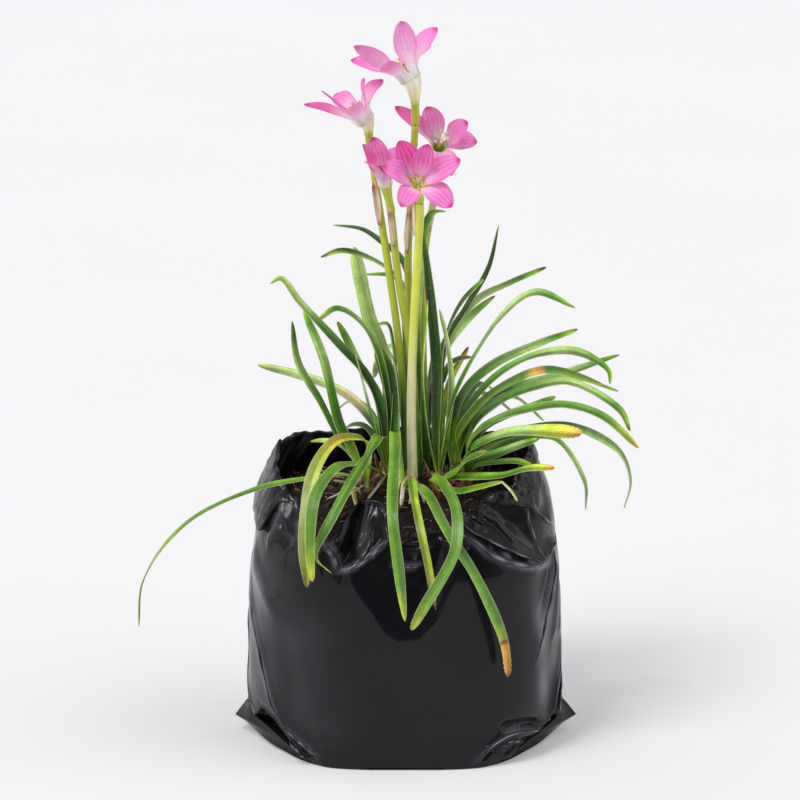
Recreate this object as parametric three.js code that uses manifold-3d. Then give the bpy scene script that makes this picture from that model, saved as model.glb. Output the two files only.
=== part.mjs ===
// A potted rain lily: a clump of small bulbs with strap leaves and five pink blooms in a black film grow bag.
// Millimetres, +Z up, +Y away from the viewer. The origin is the centre of the bag's flat base.
import * as THREE from 'three';
import { mergeVertices } from 'three/addons/utils/BufferGeometryUtils.js';
import Module from 'manifold-3d';

const wasm = await Module();
wasm.setup();

// Driving dimensions
const GAP = 0.3;                 // clearance left between pieces that touch
const BAG_HALF_WIDTH = 80;       // half of the filled bag's width, left to right
const BAG_HALF_DEPTH = 67;       // half of its depth, front to back
const BAG_WALL = 1.4;            // film with its folds, drawn as one wall
const BASE_HALF_DEPTH = 60;      // the base's straight front and back edges
const EAR_REACH = 87;            // tips of the folded bottom corners
const EAR_LIFT = 8;              // how far the tips stand off the floor
const EAR_CORNER = 41;           // where the base's straight edges end and slant out to the tips
const EAR_THICK = 3;             // the folded film at the tips
const FLAT_REACH = 68;           // the base lies flat out to here, left and right
const FLAT_DEPTH = 57;           // and out to here, front and back
const FLAT_SQUARENESS = 2.2;     // 2 is an ellipse, higher is squarer
const WALL_SQUARENESS = 2.35;
const RIM_FRONT = 133;           // height of the mouth where it is pulled down in front
const RIM_BACK = 146;
const RIM_CORNER = 152;          // the mouth's left and right corners
const SHOULDER = 116;            // the film bends in towards the mouth from here
const SOIL_EDGE = 125.5;
const SOIL_MOUND = 4;            // how much higher the soil is in the middle
const BULB_TOP = 131;            // flat top of the bulb necks
const BULB_DEPTH = 31;           // bulb length below that top
const BULB_NECK = 5.4;           // neck radius at the top
const SHEATH_RADIUS = 2.7;       // the leaves of a bulb rise out of one sheath
const SHEATH_HEIGHT = 5;
const LEAF_THICK = 0.8;
const LEAF_TURN = 0.6;           // how far a leaf's upper side turns to the front
const PETAL_THICK = 0.8;
const PETAL_ARCH = 3.5;          // how far a petal's middle bows forwards
const TUBE_RADII = [1.9, 2.2, 1.8, 1.8, 2.3, 3];   // ovary, neck and throat of a flower
const STAMEN_LENGTH = 13;
const STAMEN_SPREAD = 3.6;       // how far the anthers stand off the flower's axis
const STYLE_LENGTH = 16;
const BAG_SIDES = 48;

const colours = {
  film: [0x29282b, 0.38],
  soil: [0x2b211b, 0.95],
  bulb: [0x7b4a36, 0.8],
  leaf: [0x5c8a3c, 0.5],
  scape: [0xa9bd4e, 0.5],
  spathe: [0xb98f78, 0.75],
  petal: [0xe583c4, 0.55],
  stamen: [0xe8c733, 0.6],
};

const vec = (p) => new THREE.Vector3(p[0], p[1], p[2]);
const smooth = (a, b, x) => THREE.MathUtils.smoothstep(x, a, b);

// A small seeded generator, so that every build is the same
function seeded(seed) {
  let state = seed;
  return () => {
    state = (state * 1664525 + 1013904223) % 4294967296;
    return state / 4294967296;
  };
}

// Geometry to solid and back, for joins and cuts
function solid(geometry) {
  const g = geometry.clone();
  g.deleteAttribute('normal');
  g.deleteAttribute('uv');
  const merged = mergeVertices(g, 1e-4);
  return new wasm.Manifold(new wasm.Mesh({
    numProp: 3,
    vertProperties: new Float32Array(merged.attributes.position.array),
    triVerts: new Uint32Array(merged.index.array),
  }));
}

function geometryOf(body) {
  const mesh = body.getMesh();
  const g = new THREE.BufferGeometry();
  g.setAttribute('position', new THREE.BufferAttribute(new Float32Array(mesh.vertProperties), 3));
  g.setIndex([...mesh.triVerts]);
  g.computeVertexNormals();
  return g;
}

const join = (geometries) => geometries.map(solid).reduce((a, b) => a.add(b));

// Keeps the largest body of a solid and lets loose scraps go
function largest(body) {
  return body.decompose().sort((a, b) => b.volume() - a.volume())[0];
}

const group = new THREE.Group();

function addPart(name, geometry, finish) {
  const [color, roughness] = colours[finish];
  const material = new THREE.MeshStandardMaterial({ color, roughness, metalness: 0 });
  material.flatShading = true;
  const mesh = new THREE.Mesh(geometry, material);
  mesh.name = name;
  group.add(mesh);
}

// A skin between rings of equal length, closed at both ends by a fan from the ring's first corner.
// turned says which sides of a ring have their diagonal the other way, so that facing walls split alike.
function skin(rings, turned = () => false) {
  const sides = rings[0].length;
  const position = rings.flat().flatMap((p) => [p.x, p.y, p.z]);
  const index = [];
  for (let i = 0; i < rings.length - 1; i += 1) {
    for (let j = 0; j < sides; j += 1) {
      const k = (j + 1) % sides;
      const [a, b, c, d] = [i * sides + j, i * sides + k, (i + 1) * sides + k, (i + 1) * sides + j];
      index.push(...(turned(j) ? [a, b, d, b, c, d] : [a, b, c, a, c, d]));
    }
  }
  const last = (rings.length - 1) * sides;
  for (let j = 1; j < sides - 1; j += 1) {
    index.push(0, j + 1, j);
    index.push(last, last + j, last + j + 1);
  }
  const g = new THREE.BufferGeometry();
  g.setAttribute('position', new THREE.Float32BufferAttribute(position, 3));
  g.setIndex(index);
  return g;
}

// Sweeps a section along a smooth route. frame gives the blade's upper direction from the tangent,
// section gives the corners as [across, up] pairs, turning left seen against the route.
function sweep(route, steps, frame, section, turned) {
  const curve = new THREE.CatmullRomCurve3(route, false, 'centripetal');
  const rings = [];
  for (let i = 0; i <= steps; i += 1) {
    const t = i / steps;
    const point = curve.getPointAt(t);
    const tangent = curve.getTangentAt(t);
    const up = frame(tangent, t);
    up.addScaledVector(tangent, -up.dot(tangent)).normalize();
    const across = new THREE.Vector3().crossVectors(up, tangent);
    rings.push(section(t).map(([s, n]) => point.clone().addScaledVector(across, s).addScaledVector(up, n)));
  }
  return skin(rings, turned);
}

// A round stem whose radius follows a list of values from foot to top
function stem(route, steps, radii, sides = 8) {
  const radiusAt = (t) => {
    const k = Math.min(Math.floor(t * (radii.length - 1)), radii.length - 2);
    return THREE.MathUtils.lerp(radii[k], radii[k + 1], t * (radii.length - 1) - k);
  };
  const section = (t) => Array.from({ length: sides }, (_, j) => {
    const a = (j / sides) * 2 * Math.PI;
    return [radiusAt(t) * Math.cos(a), radiusAt(t) * Math.sin(a)];
  });
  return sweep(route.map(vec), steps, () => new THREE.Vector3(0.2, 1, 0.1), section);
}

// A flat blade: a four-cornered section that is narrow at its foot, full in the middle and tapers to the tip
function blade(route, steps, width, thick, frame, footShare, fullAt) {
  const section = (t) => {
    const rise = THREE.MathUtils.lerp(footShare, 1, smooth(0, fullAt, t));
    const half = (width / 2) * rise * Math.sqrt(Math.max(1 - ((t - fullAt) / (1.02 - fullAt)) ** 3, 0.03));
    const s = t < fullAt ? (width / 2) * rise : half;
    const h = thick / 2;
    return [[-s, -h], [s, -h], [s, h], [-s, h]];
  };
  return sweep(route, steps, frame, section, (j) => j >= 2);
}

// The grow bag: an outline for each row of the wall, from the pinched base to the gathered mouth
const rimHeight = (a) => {
  const back = smooth(-0.45, 0.25, Math.sin(a));
  const corner = smooth(0.86, 1, Math.abs(Math.cos(a)));
  const side = THREE.MathUtils.lerp(RIM_FRONT, RIM_BACK, back);
  return THREE.MathUtils.lerp(side, RIM_CORNER, corner);
};

function ellipseRadius(a, halfWidth, front, back, power) {
  const depth = Math.sin(a) < 0 ? front : back;
  return (Math.abs(Math.cos(a) / halfWidth) ** power + Math.abs(Math.sin(a) / depth) ** power) ** (-1 / power);
}

// The base is folded flat: straight front and back edges, and slanted sides that meet at the ear tips
function baseRadius(a) {
  const [cos, sin] = [Math.abs(Math.cos(a)), Math.abs(Math.sin(a))];
  const normal = new THREE.Vector2(BASE_HALF_DEPTH, EAR_REACH - EAR_CORNER).normalize();
  const slant = normal.x * EAR_REACH;
  return Math.min(BASE_HALF_DEPTH / Math.max(sin, 1e-6), slant / (normal.x * cos + normal.y * sin));
}

const earLift = (a, r) => EAR_LIFT * smooth(FLAT_REACH, EAR_REACH, Math.abs(r * Math.cos(a)));

// Rows of the outer wall: half width, half depth in front and behind, and height (a share of the rim past 1)
const wallRows = [
  { z: 17, w: 79.6, f: 62.5, b: 62.5 },
  { z: 32, w: 80.4, f: 65.5, b: 65.5 },
  { z: 56, w: BAG_HALF_WIDTH, f: BAG_HALF_DEPTH, b: BAG_HALF_DEPTH },
  { z: 76, w: 78.4, f: 66.5, b: 66.5 },
  { z: 92, w: 77.2, f: 65, b: 65.5 },
  { z: 106, w: 75.8, f: 63, b: 64 },
  { z: 116, w: 74.8, f: 60, b: 62.5 },
  { up: 0.35, w: 72.6, f: 54.5, b: 60.5 },
  { up: 0.7, w: 69.5, f: 47, b: 57.5 },
  { up: 1, w: 66.5, f: 42.5, b: 54.5 },
];
const innerRows = wallRows.filter((row) => ![32, 76, 106].includes(row.z));

function wallPoint(row, a, inset) {
  const height = row.up === undefined ? row.z : THREE.MathUtils.lerp(SHOULDER, rimHeight(a), row.up);
  const crumple = smooth(98, 122, height) * (1.1 * Math.sin(9 * a + 1) + 0.7 * Math.sin(14 * a + 2.2));
  const r = ellipseRadius(a, row.w, row.f, row.b, WALL_SQUARENESS) + crumple - inset;
  return new THREE.Vector3(r * Math.cos(a), r * Math.sin(a), height);
}

const angles = Array.from({ length: BAG_SIDES }, (_, i) => (i / BAG_SIDES) * 2 * Math.PI);
const ringAt = (f) => angles.map((a) => f(a));
const polar = (a, r, z) => new THREE.Vector3(r * Math.cos(a), r * Math.sin(a), z);

function bagGeometry() {
  const flat = (a) => ellipseRadius(a, FLAT_REACH, FLAT_DEPTH, FLAT_DEPTH, FLAT_SQUARENESS);
  const rings = [ringAt((a) => polar(a, 0.2 * flat(a), 0)), ringAt((a) => polar(a, flat(a), 0))];
  rings.push(ringAt((a) => polar(a, baseRadius(a) - 1, earLift(a, baseRadius(a) - 1))));
  rings.push(ringAt((a) => polar(a, baseRadius(a), earLift(a, baseRadius(a)) + EAR_THICK)));
  wallRows.forEach((row) => rings.push(ringAt((a) => wallPoint(row, a, 0))));
  [...innerRows].reverse().forEach((row) => rings.push(ringAt((a) => wallPoint(row, a, BAG_WALL))));
  rings.push(ringAt((a) => floorPoint(a, 0, BAG_WALL)));
  return skin(rings);
}

// The inner floor, inside the folded corners
function floorPoint(a, inset, z) {
  return polar(a, ellipseRadius(a, FLAT_REACH - 2, FLAT_DEPTH - 2, FLAT_DEPTH - 2, FLAT_SQUARENESS) - inset, z);
}

// Where the wall's inner side stands at one height, between two rows
function wallAtHeight(a, z, inset) {
  const points = innerRows.map((row) => wallPoint(row, a, inset));
  const k = points.findIndex((p) => p.z > z);
  return points[k - 1].clone().lerp(points[k], (z - points[k - 1].z) / (points[k].z - points[k - 1].z));
}

function soilGeometry() {
  const inset = BAG_WALL + GAP + 0.05;
  const random = seeded(7);
  const rings = [ringAt((a) => floorPoint(a, GAP, BAG_WALL + GAP))];
  innerRows.filter((row) => row.z).forEach((row) => rings.push(ringAt((a) => wallPoint(row, a, inset))));
  rings.push(ringAt((a) => wallAtHeight(a, SOIL_EDGE, inset)));
  [[0.8, 0.55], [0.5, 0.9], [0.2, 1]].forEach(([share, rise]) => {
    rings.push(ringAt((a) => {
      const edge = wallAtHeight(a, SOIL_EDGE, inset);
      return polar(a, Math.hypot(edge.x, edge.y) * share, SOIL_EDGE + SOIL_MOUND * rise + random() * 1.2 - 0.6);
    }));
  });
  return skin(rings, () => true);
}

// Bulbs: where each stands and how fat it is. They sit in the soil with their necks just showing.
const bulbs = [
  { at: [-20, -8], radius: 7 },
  { at: [-9, 3], radius: 6.8 },
  { at: [1.6, -13], radius: 7.2 },
  { at: [9, 24], radius: 7 },
  { at: [17, 1], radius: 6.8 },
  { at: [25, 16], radius: 7 },
  { at: [32, -1], radius: 7 },
  { at: [17, -15], radius: 7 },
  { at: [4, 9], radius: 6.6 },
  { at: [-9, 19], radius: 6.8 },
];

function bulbGeometry({ at, radius }, grow) {
  const low = BULB_TOP - BULB_DEPTH;
  const profile = [
    [0, low - grow],
    [radius * 0.5 + grow, low - grow],
    [radius + grow, low + 9],
    [radius * 0.93 + grow, low + 18],
    [BULB_NECK + 0.4 + grow, BULB_TOP - 5],
    [BULB_NECK + grow, BULB_TOP + grow],
    [0, BULB_TOP + grow],
  ];
  const g = new THREE.LatheGeometry(profile.map(([r, z]) => new THREE.Vector2(r, z)), 8);
  g.rotateX(Math.PI / 2);
  g.translate(at[0], at[1], 0);
  return g;
}

// Leaves of each bulb: where their sheath stands on the bulb, then width and route of every leaf.
// The routes are read from the foot outwards.
const tufts = [
  { bulb: 0, at: [-20, -8], leaves: [
    [4.5, [-24, 0, 144], [-33, 8, 153], [-43, 16, 170], [-54, 20, 189], [-57, 22, 210]],
    [6, [-26, -4, 149], [-33, 0, 162], [-36, 4, 173], [-41, 10, 193], [-51, 20, 216]],
    [7, [-19, -12, 156], [-27, -18, 160], [-35, -26, 160], [-45, -48, 150], [-49, -66, 128], [-48, -69, 98]],
    [4.5, [-25, 4, 143], [-33, 14, 148], [-42, 20, 148], [-48, 22, 147]],
    [4.5, [-30, -16, 140], [-48, -26, 141], [-75, -36, 138], [-108, -44, 123], [-129, -48, 96], [-132, -49, 71]],
  ] },
  { bulb: 1, at: [-9, 3], leaves: [
    [6.5, [-11, 2, 164], [-18, -2, 186], [-32, -10, 205], [-52, -20, 230], [-61, -26, 243], [-66, -29, 241]],
    [6, [-9, 4, 173], [-14, 4, 199], [-22, 2, 214], [-34, -2, 222], [-43, -6, 217]],
    [6, [-14, 12, 174], [-22, 14, 187], [-30, 16, 203], [-34, 16, 211]],
    [5.5, [-5, 2, 169], [-7, 0, 189], [-11, -4, 202]],
    [7, [-15, -4, 160], [-19, -8, 177], [-22, -12, 191], [-25, -14, 203]],
    [4, [-5, 3, 184], [-6, 3, 202], [-9, 3, 213], [-15, 3, 212]],
    [7, [-12, -8, 158], [-18, -24, 153], [-33, -60, 136], [-43, -75, 115], [-36, -78, 108]],
    [6.5, [-16, -14, 143], [-26, -32, 150], [-34, -46, 152], [-44, -68, 143], [-46, -78, 119], [-45, -79, 104]],
    [5, [-6, 6, 163], [-11, 18, 183], [-15, 22, 194]],
  ] },
  { bulb: 2, at: [-1, -15], leaves: [
    [7, [-5, -22, 164], [-5, -34, 157], [-6, -56, 144], [-6, -72, 133], [-3, -76, 109], [0, -77, 83]],
    [4, [3, -34, 143], [5, -54, 136], [8, -69, 125], [11, -71, 111], [15, -71, 87]],
    [7.5, [7, -30, 138], [12, -46, 137], [18, -61, 129], [24, -71, 121], [34, -73, 105], [48, -75, 73], [51, -75, 53]],
    [5, [-3, -17, 158], [-3, -17, 179], [-5, -18, 197], [-9, -20, 208]],
  ] },
  { bulb: 3, at: [9, 27], leaves: [
    [4, [4, 32, 208], [-1, 42, 236], [-13, 52, 245], [-22, 60, 249], [-37, 70, 249]],
    [5, [5, 32, 203], [-1, 30, 226], [-11, 24, 238], [-31, 14, 248], [-42, 8, 246]],
    [3.5, [4, 38, 196], [1, 46, 220], [-6, 52, 226], [-21, 62, 225]],
    [5, [14, 34, 166], [19, 38, 191], [36, 56, 212], [54, 68, 219], [73, 78, 225]],
    [6, [12, 36, 165], [15, 52, 192], [18, 70, 198], [21, 88, 184]],
    [6, [4, 38, 160], [-2, 54, 184], [-8, 70, 186], [-13, 86, 168]],
    [5, [16, 34, 158], [27, 48, 176], [42, 60, 178], [58, 70, 164]],
  ] },
  { bulb: 4, at: [17, 1], leaves: [
    [8, [16, 2, 164], [16, 4, 189], [14, 8, 214], [9, 16, 258]],
    [7, [21, -2, 160], [23, -6, 184], [21, -8, 205], [17, -8, 223]],
    [6, [11, -4, 160], [9, -4, 186], [10, -4, 209], [11, -4, 227]],
    [5, [18, 8, 172], [20, 12, 200], [31, 16, 219], [42, 20, 238], [47, 20, 260]],
    [6, [18, -2, 180], [20, -2, 206], [28, -6, 226], [39, -10, 239]],
    [5, [17, 16, 160], [19, 26, 191], [33, 38, 208], [46, 48, 217]],
    [6.5, [21, -8, 162], [26, -12, 183], [48, -24, 224], [64, -31, 237], [83, -38, 231]],
    [4, [20, 12, 171], [24, 16, 183], [32, 20, 197]],
  ] },
  { bulb: 5, at: [25, 16], leaves: [
    [6, [23, 26, 152], [31, 34, 171], [45, 42, 182], [67, 52, 190], [89, 62, 196]],
    [5.5, [28, 32, 153], [41, 44, 163], [59, 56, 168], [78, 66, 170], [112, 84, 177]],
    [6, [26, 22, 148], [38, 24, 166], [54, 24, 178], [72, 24, 184], [101, 24, 176]],
    [6, [29, 28, 148], [43, 34, 161], [64, 40, 172], [83, 46, 175], [110, 54, 165]],
    [6, [31, 26, 156], [42, 40, 170], [56, 54, 170], [72, 66, 154]],
    [6, [28, 28, 162], [33, 46, 186], [40, 64, 188], [47, 82, 172]],
  ] },
  { bulb: 6, at: [32, -1], leaves: [
    [6.5, [25, 6, 157], [33, 6, 171], [47, 4, 187], [67, -2, 199], [86, -6, 201], [101, -12, 193], [102, -13, 186]],
    [6.5, [33, -4, 159], [47, -10, 176], [66, -16, 186], [82, -21, 189], [106, -29, 177], [111, -31, 167]],
    [7, [33, -12, 157], [46, -20, 170], [62, -30, 178], [79, -38, 182], [97, -45, 178], [114, -52, 164]],
    [6, [37, 4, 156], [50, 8, 164], [65, 12, 168], [76, 16, 172]],
    [10, [32, -16, 152], [41, -26, 161], [52, -34, 167], [65, -42, 170], [86, -52, 171]],
    [6.5, [36, 6, 146], [68, 16, 156], [86, 20, 155], [109, 23, 141], [115, 24, 125], [112, 24, 111]],
    [5, [37, 0, 144], [50, 2, 151], [65, 6, 154], [77, 10, 151], [91, 14, 128], [92, 14, 113]],
    [4.5, [35, -8, 142], [45, -14, 146], [56, -19, 148], [63, -23, 147]],
    [7, [35, -4, 143], [46, -6, 148], [57, -8, 153], [67, -10, 157]],
  ] },
  { bulb: 7, at: [17, -15], leaves: [
    [6, [22, -22, 140], [35, -30, 143], [48, -38, 146], [61, -46, 152], [73, -53, 154]],
    [5.5, [18, -24, 135], [27, -35, 137], [37, -45, 142], [48, -53, 147]],
    [8, [20, -20, 139], [26, -26, 145], [31, -30, 152], [40, -33, 157]],
    [7.5, [13, -22, 140], [18, -38, 143], [25, -64, 135], [24, -78, 119], [9, -80, 91], [3, -81, 80]],
  ] },
  { bulb: 8, at: [4, 13], leaves: [
    [6, [6, 16, 170], [6, 16, 211], [8, 21, 240], [13, 26, 264], [21, 29, 265]],
    [5, [3, 15, 160], [1, 15, 180], [0, 15, 205], [-1, 16, 218]],
  ] },
  { bulb: 9, at: [-9, 19], leaves: [
    [8.5, [-8, 28, 175], [-13, 34, 195], [-18, 38, 207], [-22, 44, 223], [-26, 50, 242]],
    [6.5, [-11, 24, 147], [-20, 32, 160], [-32, 42, 168], [-52, 54, 173], [-76, 66, 176]],
    [6, [-15, 27, 156], [-24, 40, 172], [-36, 52, 174], [-50, 60, 160]],
    [6, [-10, 30, 164], [-13, 46, 188], [-17, 62, 192], [-22, 78, 178]],
    [5, [-16, 22, 150], [-28, 30, 162], [-44, 40, 164], [-58, 48, 156]],
  ] },
];

// A leaf's upper side looks up and outwards, and turns partly to the front
function leafFrame(route) {
  const heading = route[route.length - 1].clone().sub(route[0]).setZ(0).normalize();
  const sideways = new THREE.Vector3(-heading.y, heading.x, 0);
  return (tangent) => {
    const up = new THREE.Vector3().crossVectors(tangent, sideways);
    return up.normalize().add(new THREE.Vector3(0, -LEAF_TURN, 0));
  };
}

function leafGeometry(at, width, points) {
  const foot = new THREE.Vector3(at[0], at[1], BULB_TOP + GAP + 1.2);
  const route = [foot, ...points.map(vec)];
  const steps = points.length + 3;
  return blade(route, steps, width, LEAF_THICK, leafFrame(route), 0.5, 0.4);
}

function tuftGeometry({ at, leaves }) {
  const foot = [at[0], at[1], BULB_TOP + GAP];
  const top = [at[0], at[1], BULB_TOP + SHEATH_HEIGHT];
  const sheath = stem([foot, top], 1, [SHEATH_RADIUS, SHEATH_RADIUS - 0.5]);
  return join([sheath, ...leaves.map(([width, ...points]) => leafGeometry(at, width, points))]);
}

// Flowers. Each has a scape, the leafless stalk, with its route from the bulb's top to the flower's foot and
// its radii on the way; the throat and the tips of the six petals with their widths; and a papery spathe.
const flowers = [
  { name: 'front',
    radii: [2.6, 2.4, 2.2, 2.1, 2],
    scape: [[3.9, -10.8], [3.2, -9.6, 180], [4.9, -6, 226], [6.4, -2, 251], [7.5, 2.8, 268], [7.4, 3.2, 274]],
    throat: [6, -8, 286],
    tips: [[-3, -8, 308, 10], [11, -16, 308, 8], [27, -14, 300, 9], [23, -18, 277, 9], [-2, -22, 278, 8],
      [-11, -16, 297, 9]],
    spathe: [4, [5.2, 2.8, 258], [5.2, 6.2, 268], [5, 8.4, 277]] },
  { name: 'left',
    radii: [1.9, 1.9, 1.9, 1.8],
    scape: [[0.9, 7.6], [-1.9, 8.6, 190], [-8.2, 9, 240], [-11.6, 13, 262], [-17, 18, 298]],
    throat: [-22, 14, 317],
    tips: [[-20, 3, 337, 10], [-11, 23, 333, 9], [-35, 31, 324, 9], [-50, 9, 323, 9], [-41, -3, 332, 8],
      [-26, -11, 326, 8]],
    spathe: [4.5, [-12.4, 10, 262], [-13.6, 11.2, 272], [-15.6, 12.8, 284]] },
  { name: 'low',
    radii: [1.9, 1.9, 1.9, 1.9],
    scape: [[6.8, 6.8], [3.6, 9, 190], [-3.4, 8, 236], [-6.8, 8.8, 267]],
    throat: [-10, 6, 286],
    tips: [[-21, -2, 305, 8], [-16, 12, 306, 8], [-3, 15, 300, 7], [-1, 3, 299, 7], [-12, -9, 296, 7],
      [-19, -12, 298, 8]],
    spathe: [4, [-5.4, 5.6, 252], [-6.4, 5.8, 261], [-7.8, 4.6, 272]] },
  { name: 'top',
    radii: [2, 1.9, 1.9, 1.8],
    scape: [[6.4, 22.4], [2.5, 22, 205], [1.6, 22, 243], [3.4, 19, 280], [5, 17, 311]],
    throat: [1, 12, 338],
    tips: [[-2, 6, 365, 10.5], [16, 16, 360, 9], [5, 38, 351, 9], [-27, 22, 343, 9], [-12, -10, 344, 9],
      [-25, 4, 353, 9]],
    spathe: [4.5, [1.2, 19.2, 246], [1.6, 17.8, 258], [2.4, 16.2, 270]] },
  { name: 'right',
    radii: [2, 1.9, 1.9, 1.8],
    scape: [[11.4, 22.6], [9, 26, 205], [10, 32, 243], [16, 38, 277]],
    throat: [17, 26, 299],
    tips: [[-5, 30, 318, 7], [11, 30, 318, 10], [31, 16, 313, 9], [36, 26, 301, 9], [23, 10, 287, 8],
      [10, 13, 287, 8]],
    spathe: [4, [12, 31.2, 254], [14, 33, 264], [15.6, 35, 275]] },
];

// A scape stands on its bulb's neck
function scapeRoute({ scape }) {
  const [foot, ...rest] = scape;
  return [[foot[0], foot[1], BULB_TOP + GAP], ...rest];
}

// The flower faces the middle of its own tips
function flowerAxis({ throat, tips }) {
  const middle = tips.reduce((sum, tip) => sum.add(vec(tip)), new THREE.Vector3()).divideScalar(tips.length);
  return middle.sub(vec(throat)).normalize();
}

function petalGeometry(throat, axis, [x, y, z, width]) {
  const tip = new THREE.Vector3(x, y, z);
  const outward = tip.clone().sub(throat);
  outward.addScaledVector(axis, -outward.dot(axis)).normalize();
  const root = throat.clone().addScaledVector(axis, -1.6).addScaledVector(outward, 2.2);
  const middle = root.clone().lerp(tip, 0.5).addScaledVector(axis, PETAL_ARCH);
  const frame = () => axis.clone().addScaledVector(outward, -0.6);
  return blade([root, middle, tip], 5, width, PETAL_THICK, frame, 0.4, 0.55);
}

// The tube leaves the scape's end in line with it and bends round to the flower's own direction
function bloomGeometry(flower) {
  const axis = flowerAxis(flower);
  const throat = vec(flower.throat);
  const stalk = new THREE.CatmullRomCurve3(scapeRoute(flower).map(vec), false, 'centripetal');
  const [end, heading] = [stalk.getPointAt(1), stalk.getTangentAt(1)];
  const route = [
    end.clone().addScaledVector(heading, GAP),
    end.clone().addScaledVector(heading, GAP + 3.5),
    throat.clone().addScaledVector(axis, -5),
    throat,
  ];
  const tube = stem(route.map((p) => p.toArray()), 5, TUBE_RADII);
  return join([tube, ...flower.tips.map((tip) => petalGeometry(throat, axis, tip))]);
}

// Stamens: six thin filaments with long anthers and one longer style, on a small boss in the throat
function stamenGeometry(flower) {
  const axis = flowerAxis(flower);
  const seat = vec(flower.throat).addScaledVector(axis, GAP);
  const along = (d) => seat.clone().addScaledVector(axis, d);
  const across = new THREE.Vector3(0, 0, 1).cross(axis).normalize();
  const over = new THREE.Vector3().crossVectors(axis, across);
  const thread = (tip, radii) => stem([along(0.8).toArray(), tip.toArray()], 4, radii, 3);
  const parts = [stem([along(0).toArray(), along(2).toArray()], 1, [1.1, 0.9], 6)];
  parts.push(thread(along(STYLE_LENGTH), [0.45, 0.45, 0.4, 0.4, 0.8]));
  for (let i = 0; i < 6; i += 1) {
    const a = ((i + 0.5) / 6) * 2 * Math.PI;
    const aside = across.clone().multiplyScalar(Math.cos(a)).addScaledVector(over, Math.sin(a));
    const tip = along(STAMEN_LENGTH).addScaledVector(aside, STAMEN_SPREAD);
    parts.push(thread(tip, [0.45, 0.42, 0.4, 0.95, 0.4]));
  }
  return join(parts);
}

function spatheGeometry({ spathe: [width, ...route] }) {
  return blade(route.map(vec), 5, width, LEAF_THICK, () => new THREE.Vector3(0, -1, 0), 0.7, 0.4);
}

// Assembly
addPart('grow_bag', bagGeometry(), 'film');
const holes = join(bulbs.map((bulb) => bulbGeometry(bulb, GAP)));
addPart('soil', geometryOf(largest(solid(soilGeometry()).subtract(holes))), 'soil');
bulbs.forEach((bulb, i) => addPart(`bulb_${i + 1}`, bulbGeometry(bulb, 0), 'bulb'));
tufts.forEach((tuft, i) => addPart(`leaves_${i + 1}`, geometryOf(tuftGeometry(tuft)), 'leaf'));
flowers.forEach((flower) => {
  addPart(`scape_${flower.name}`, stem(scapeRoute(flower), 9, flower.radii), 'scape');
  addPart(`spathe_${flower.name}`, spatheGeometry(flower), 'spathe');
  addPart(`bloom_${flower.name}`, geometryOf(bloomGeometry(flower)), 'petal');
  addPart(`stamens_${flower.name}`, geometryOf(stamenGeometry(flower)), 'stamen');
});

export default group;
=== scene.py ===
# A potted rain lily: strap leaves and five pink blooms in a black film grow bag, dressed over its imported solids.
# Sizes below are in millimetres and become metres in newPiece(). +Z is up and +Y points away from the camera.
import bpy
import math
import numpy as np
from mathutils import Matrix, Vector


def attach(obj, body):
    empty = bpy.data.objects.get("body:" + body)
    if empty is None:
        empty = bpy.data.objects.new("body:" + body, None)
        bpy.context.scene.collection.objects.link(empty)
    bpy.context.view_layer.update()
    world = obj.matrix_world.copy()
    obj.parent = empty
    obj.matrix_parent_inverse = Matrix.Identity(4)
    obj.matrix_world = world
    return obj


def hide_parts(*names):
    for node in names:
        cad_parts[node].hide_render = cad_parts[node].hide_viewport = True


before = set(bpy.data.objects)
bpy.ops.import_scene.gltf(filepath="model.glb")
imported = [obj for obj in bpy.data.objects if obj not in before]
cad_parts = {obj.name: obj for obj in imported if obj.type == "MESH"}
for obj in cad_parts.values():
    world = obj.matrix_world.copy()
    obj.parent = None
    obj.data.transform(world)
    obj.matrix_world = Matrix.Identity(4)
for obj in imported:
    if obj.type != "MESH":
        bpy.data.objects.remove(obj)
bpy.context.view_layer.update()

mm = 0.001


# Small helpers

def linear(hexText):                      # a screen colour as linear light
    parts = [int(hexText[i:i + 2], 16) / 255 for i in (0, 2, 4)]
    return np.array([c / 12.92 if c <= 0.04045 else ((c + 0.055) / 1.055) ** 2.4 for c in parts])


def smooth(a, b, x):
    t = np.clip((np.asarray(x, float) - a) / (b - a), 0, 1)
    return t * t * (3 - 2 * t)


def unit(v):
    return v / np.maximum(np.linalg.norm(v, axis=-1, keepdims=True), 1e-9)


def ripple(points, size, seed, waves=12):   # smooth seeded noise, about -1 to 1
    rng = np.random.default_rng(seed)
    total = np.zeros(points.shape[:-1])
    for _ in range(waves):
        direction = unit(rng.normal(size=points.shape[-1])) * rng.uniform(0.5, 1.5) / size
        total += np.sin(points @ direction * 2 * math.pi + rng.uniform(0, 2 * math.pi))
    return total / math.sqrt(waves)


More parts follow.
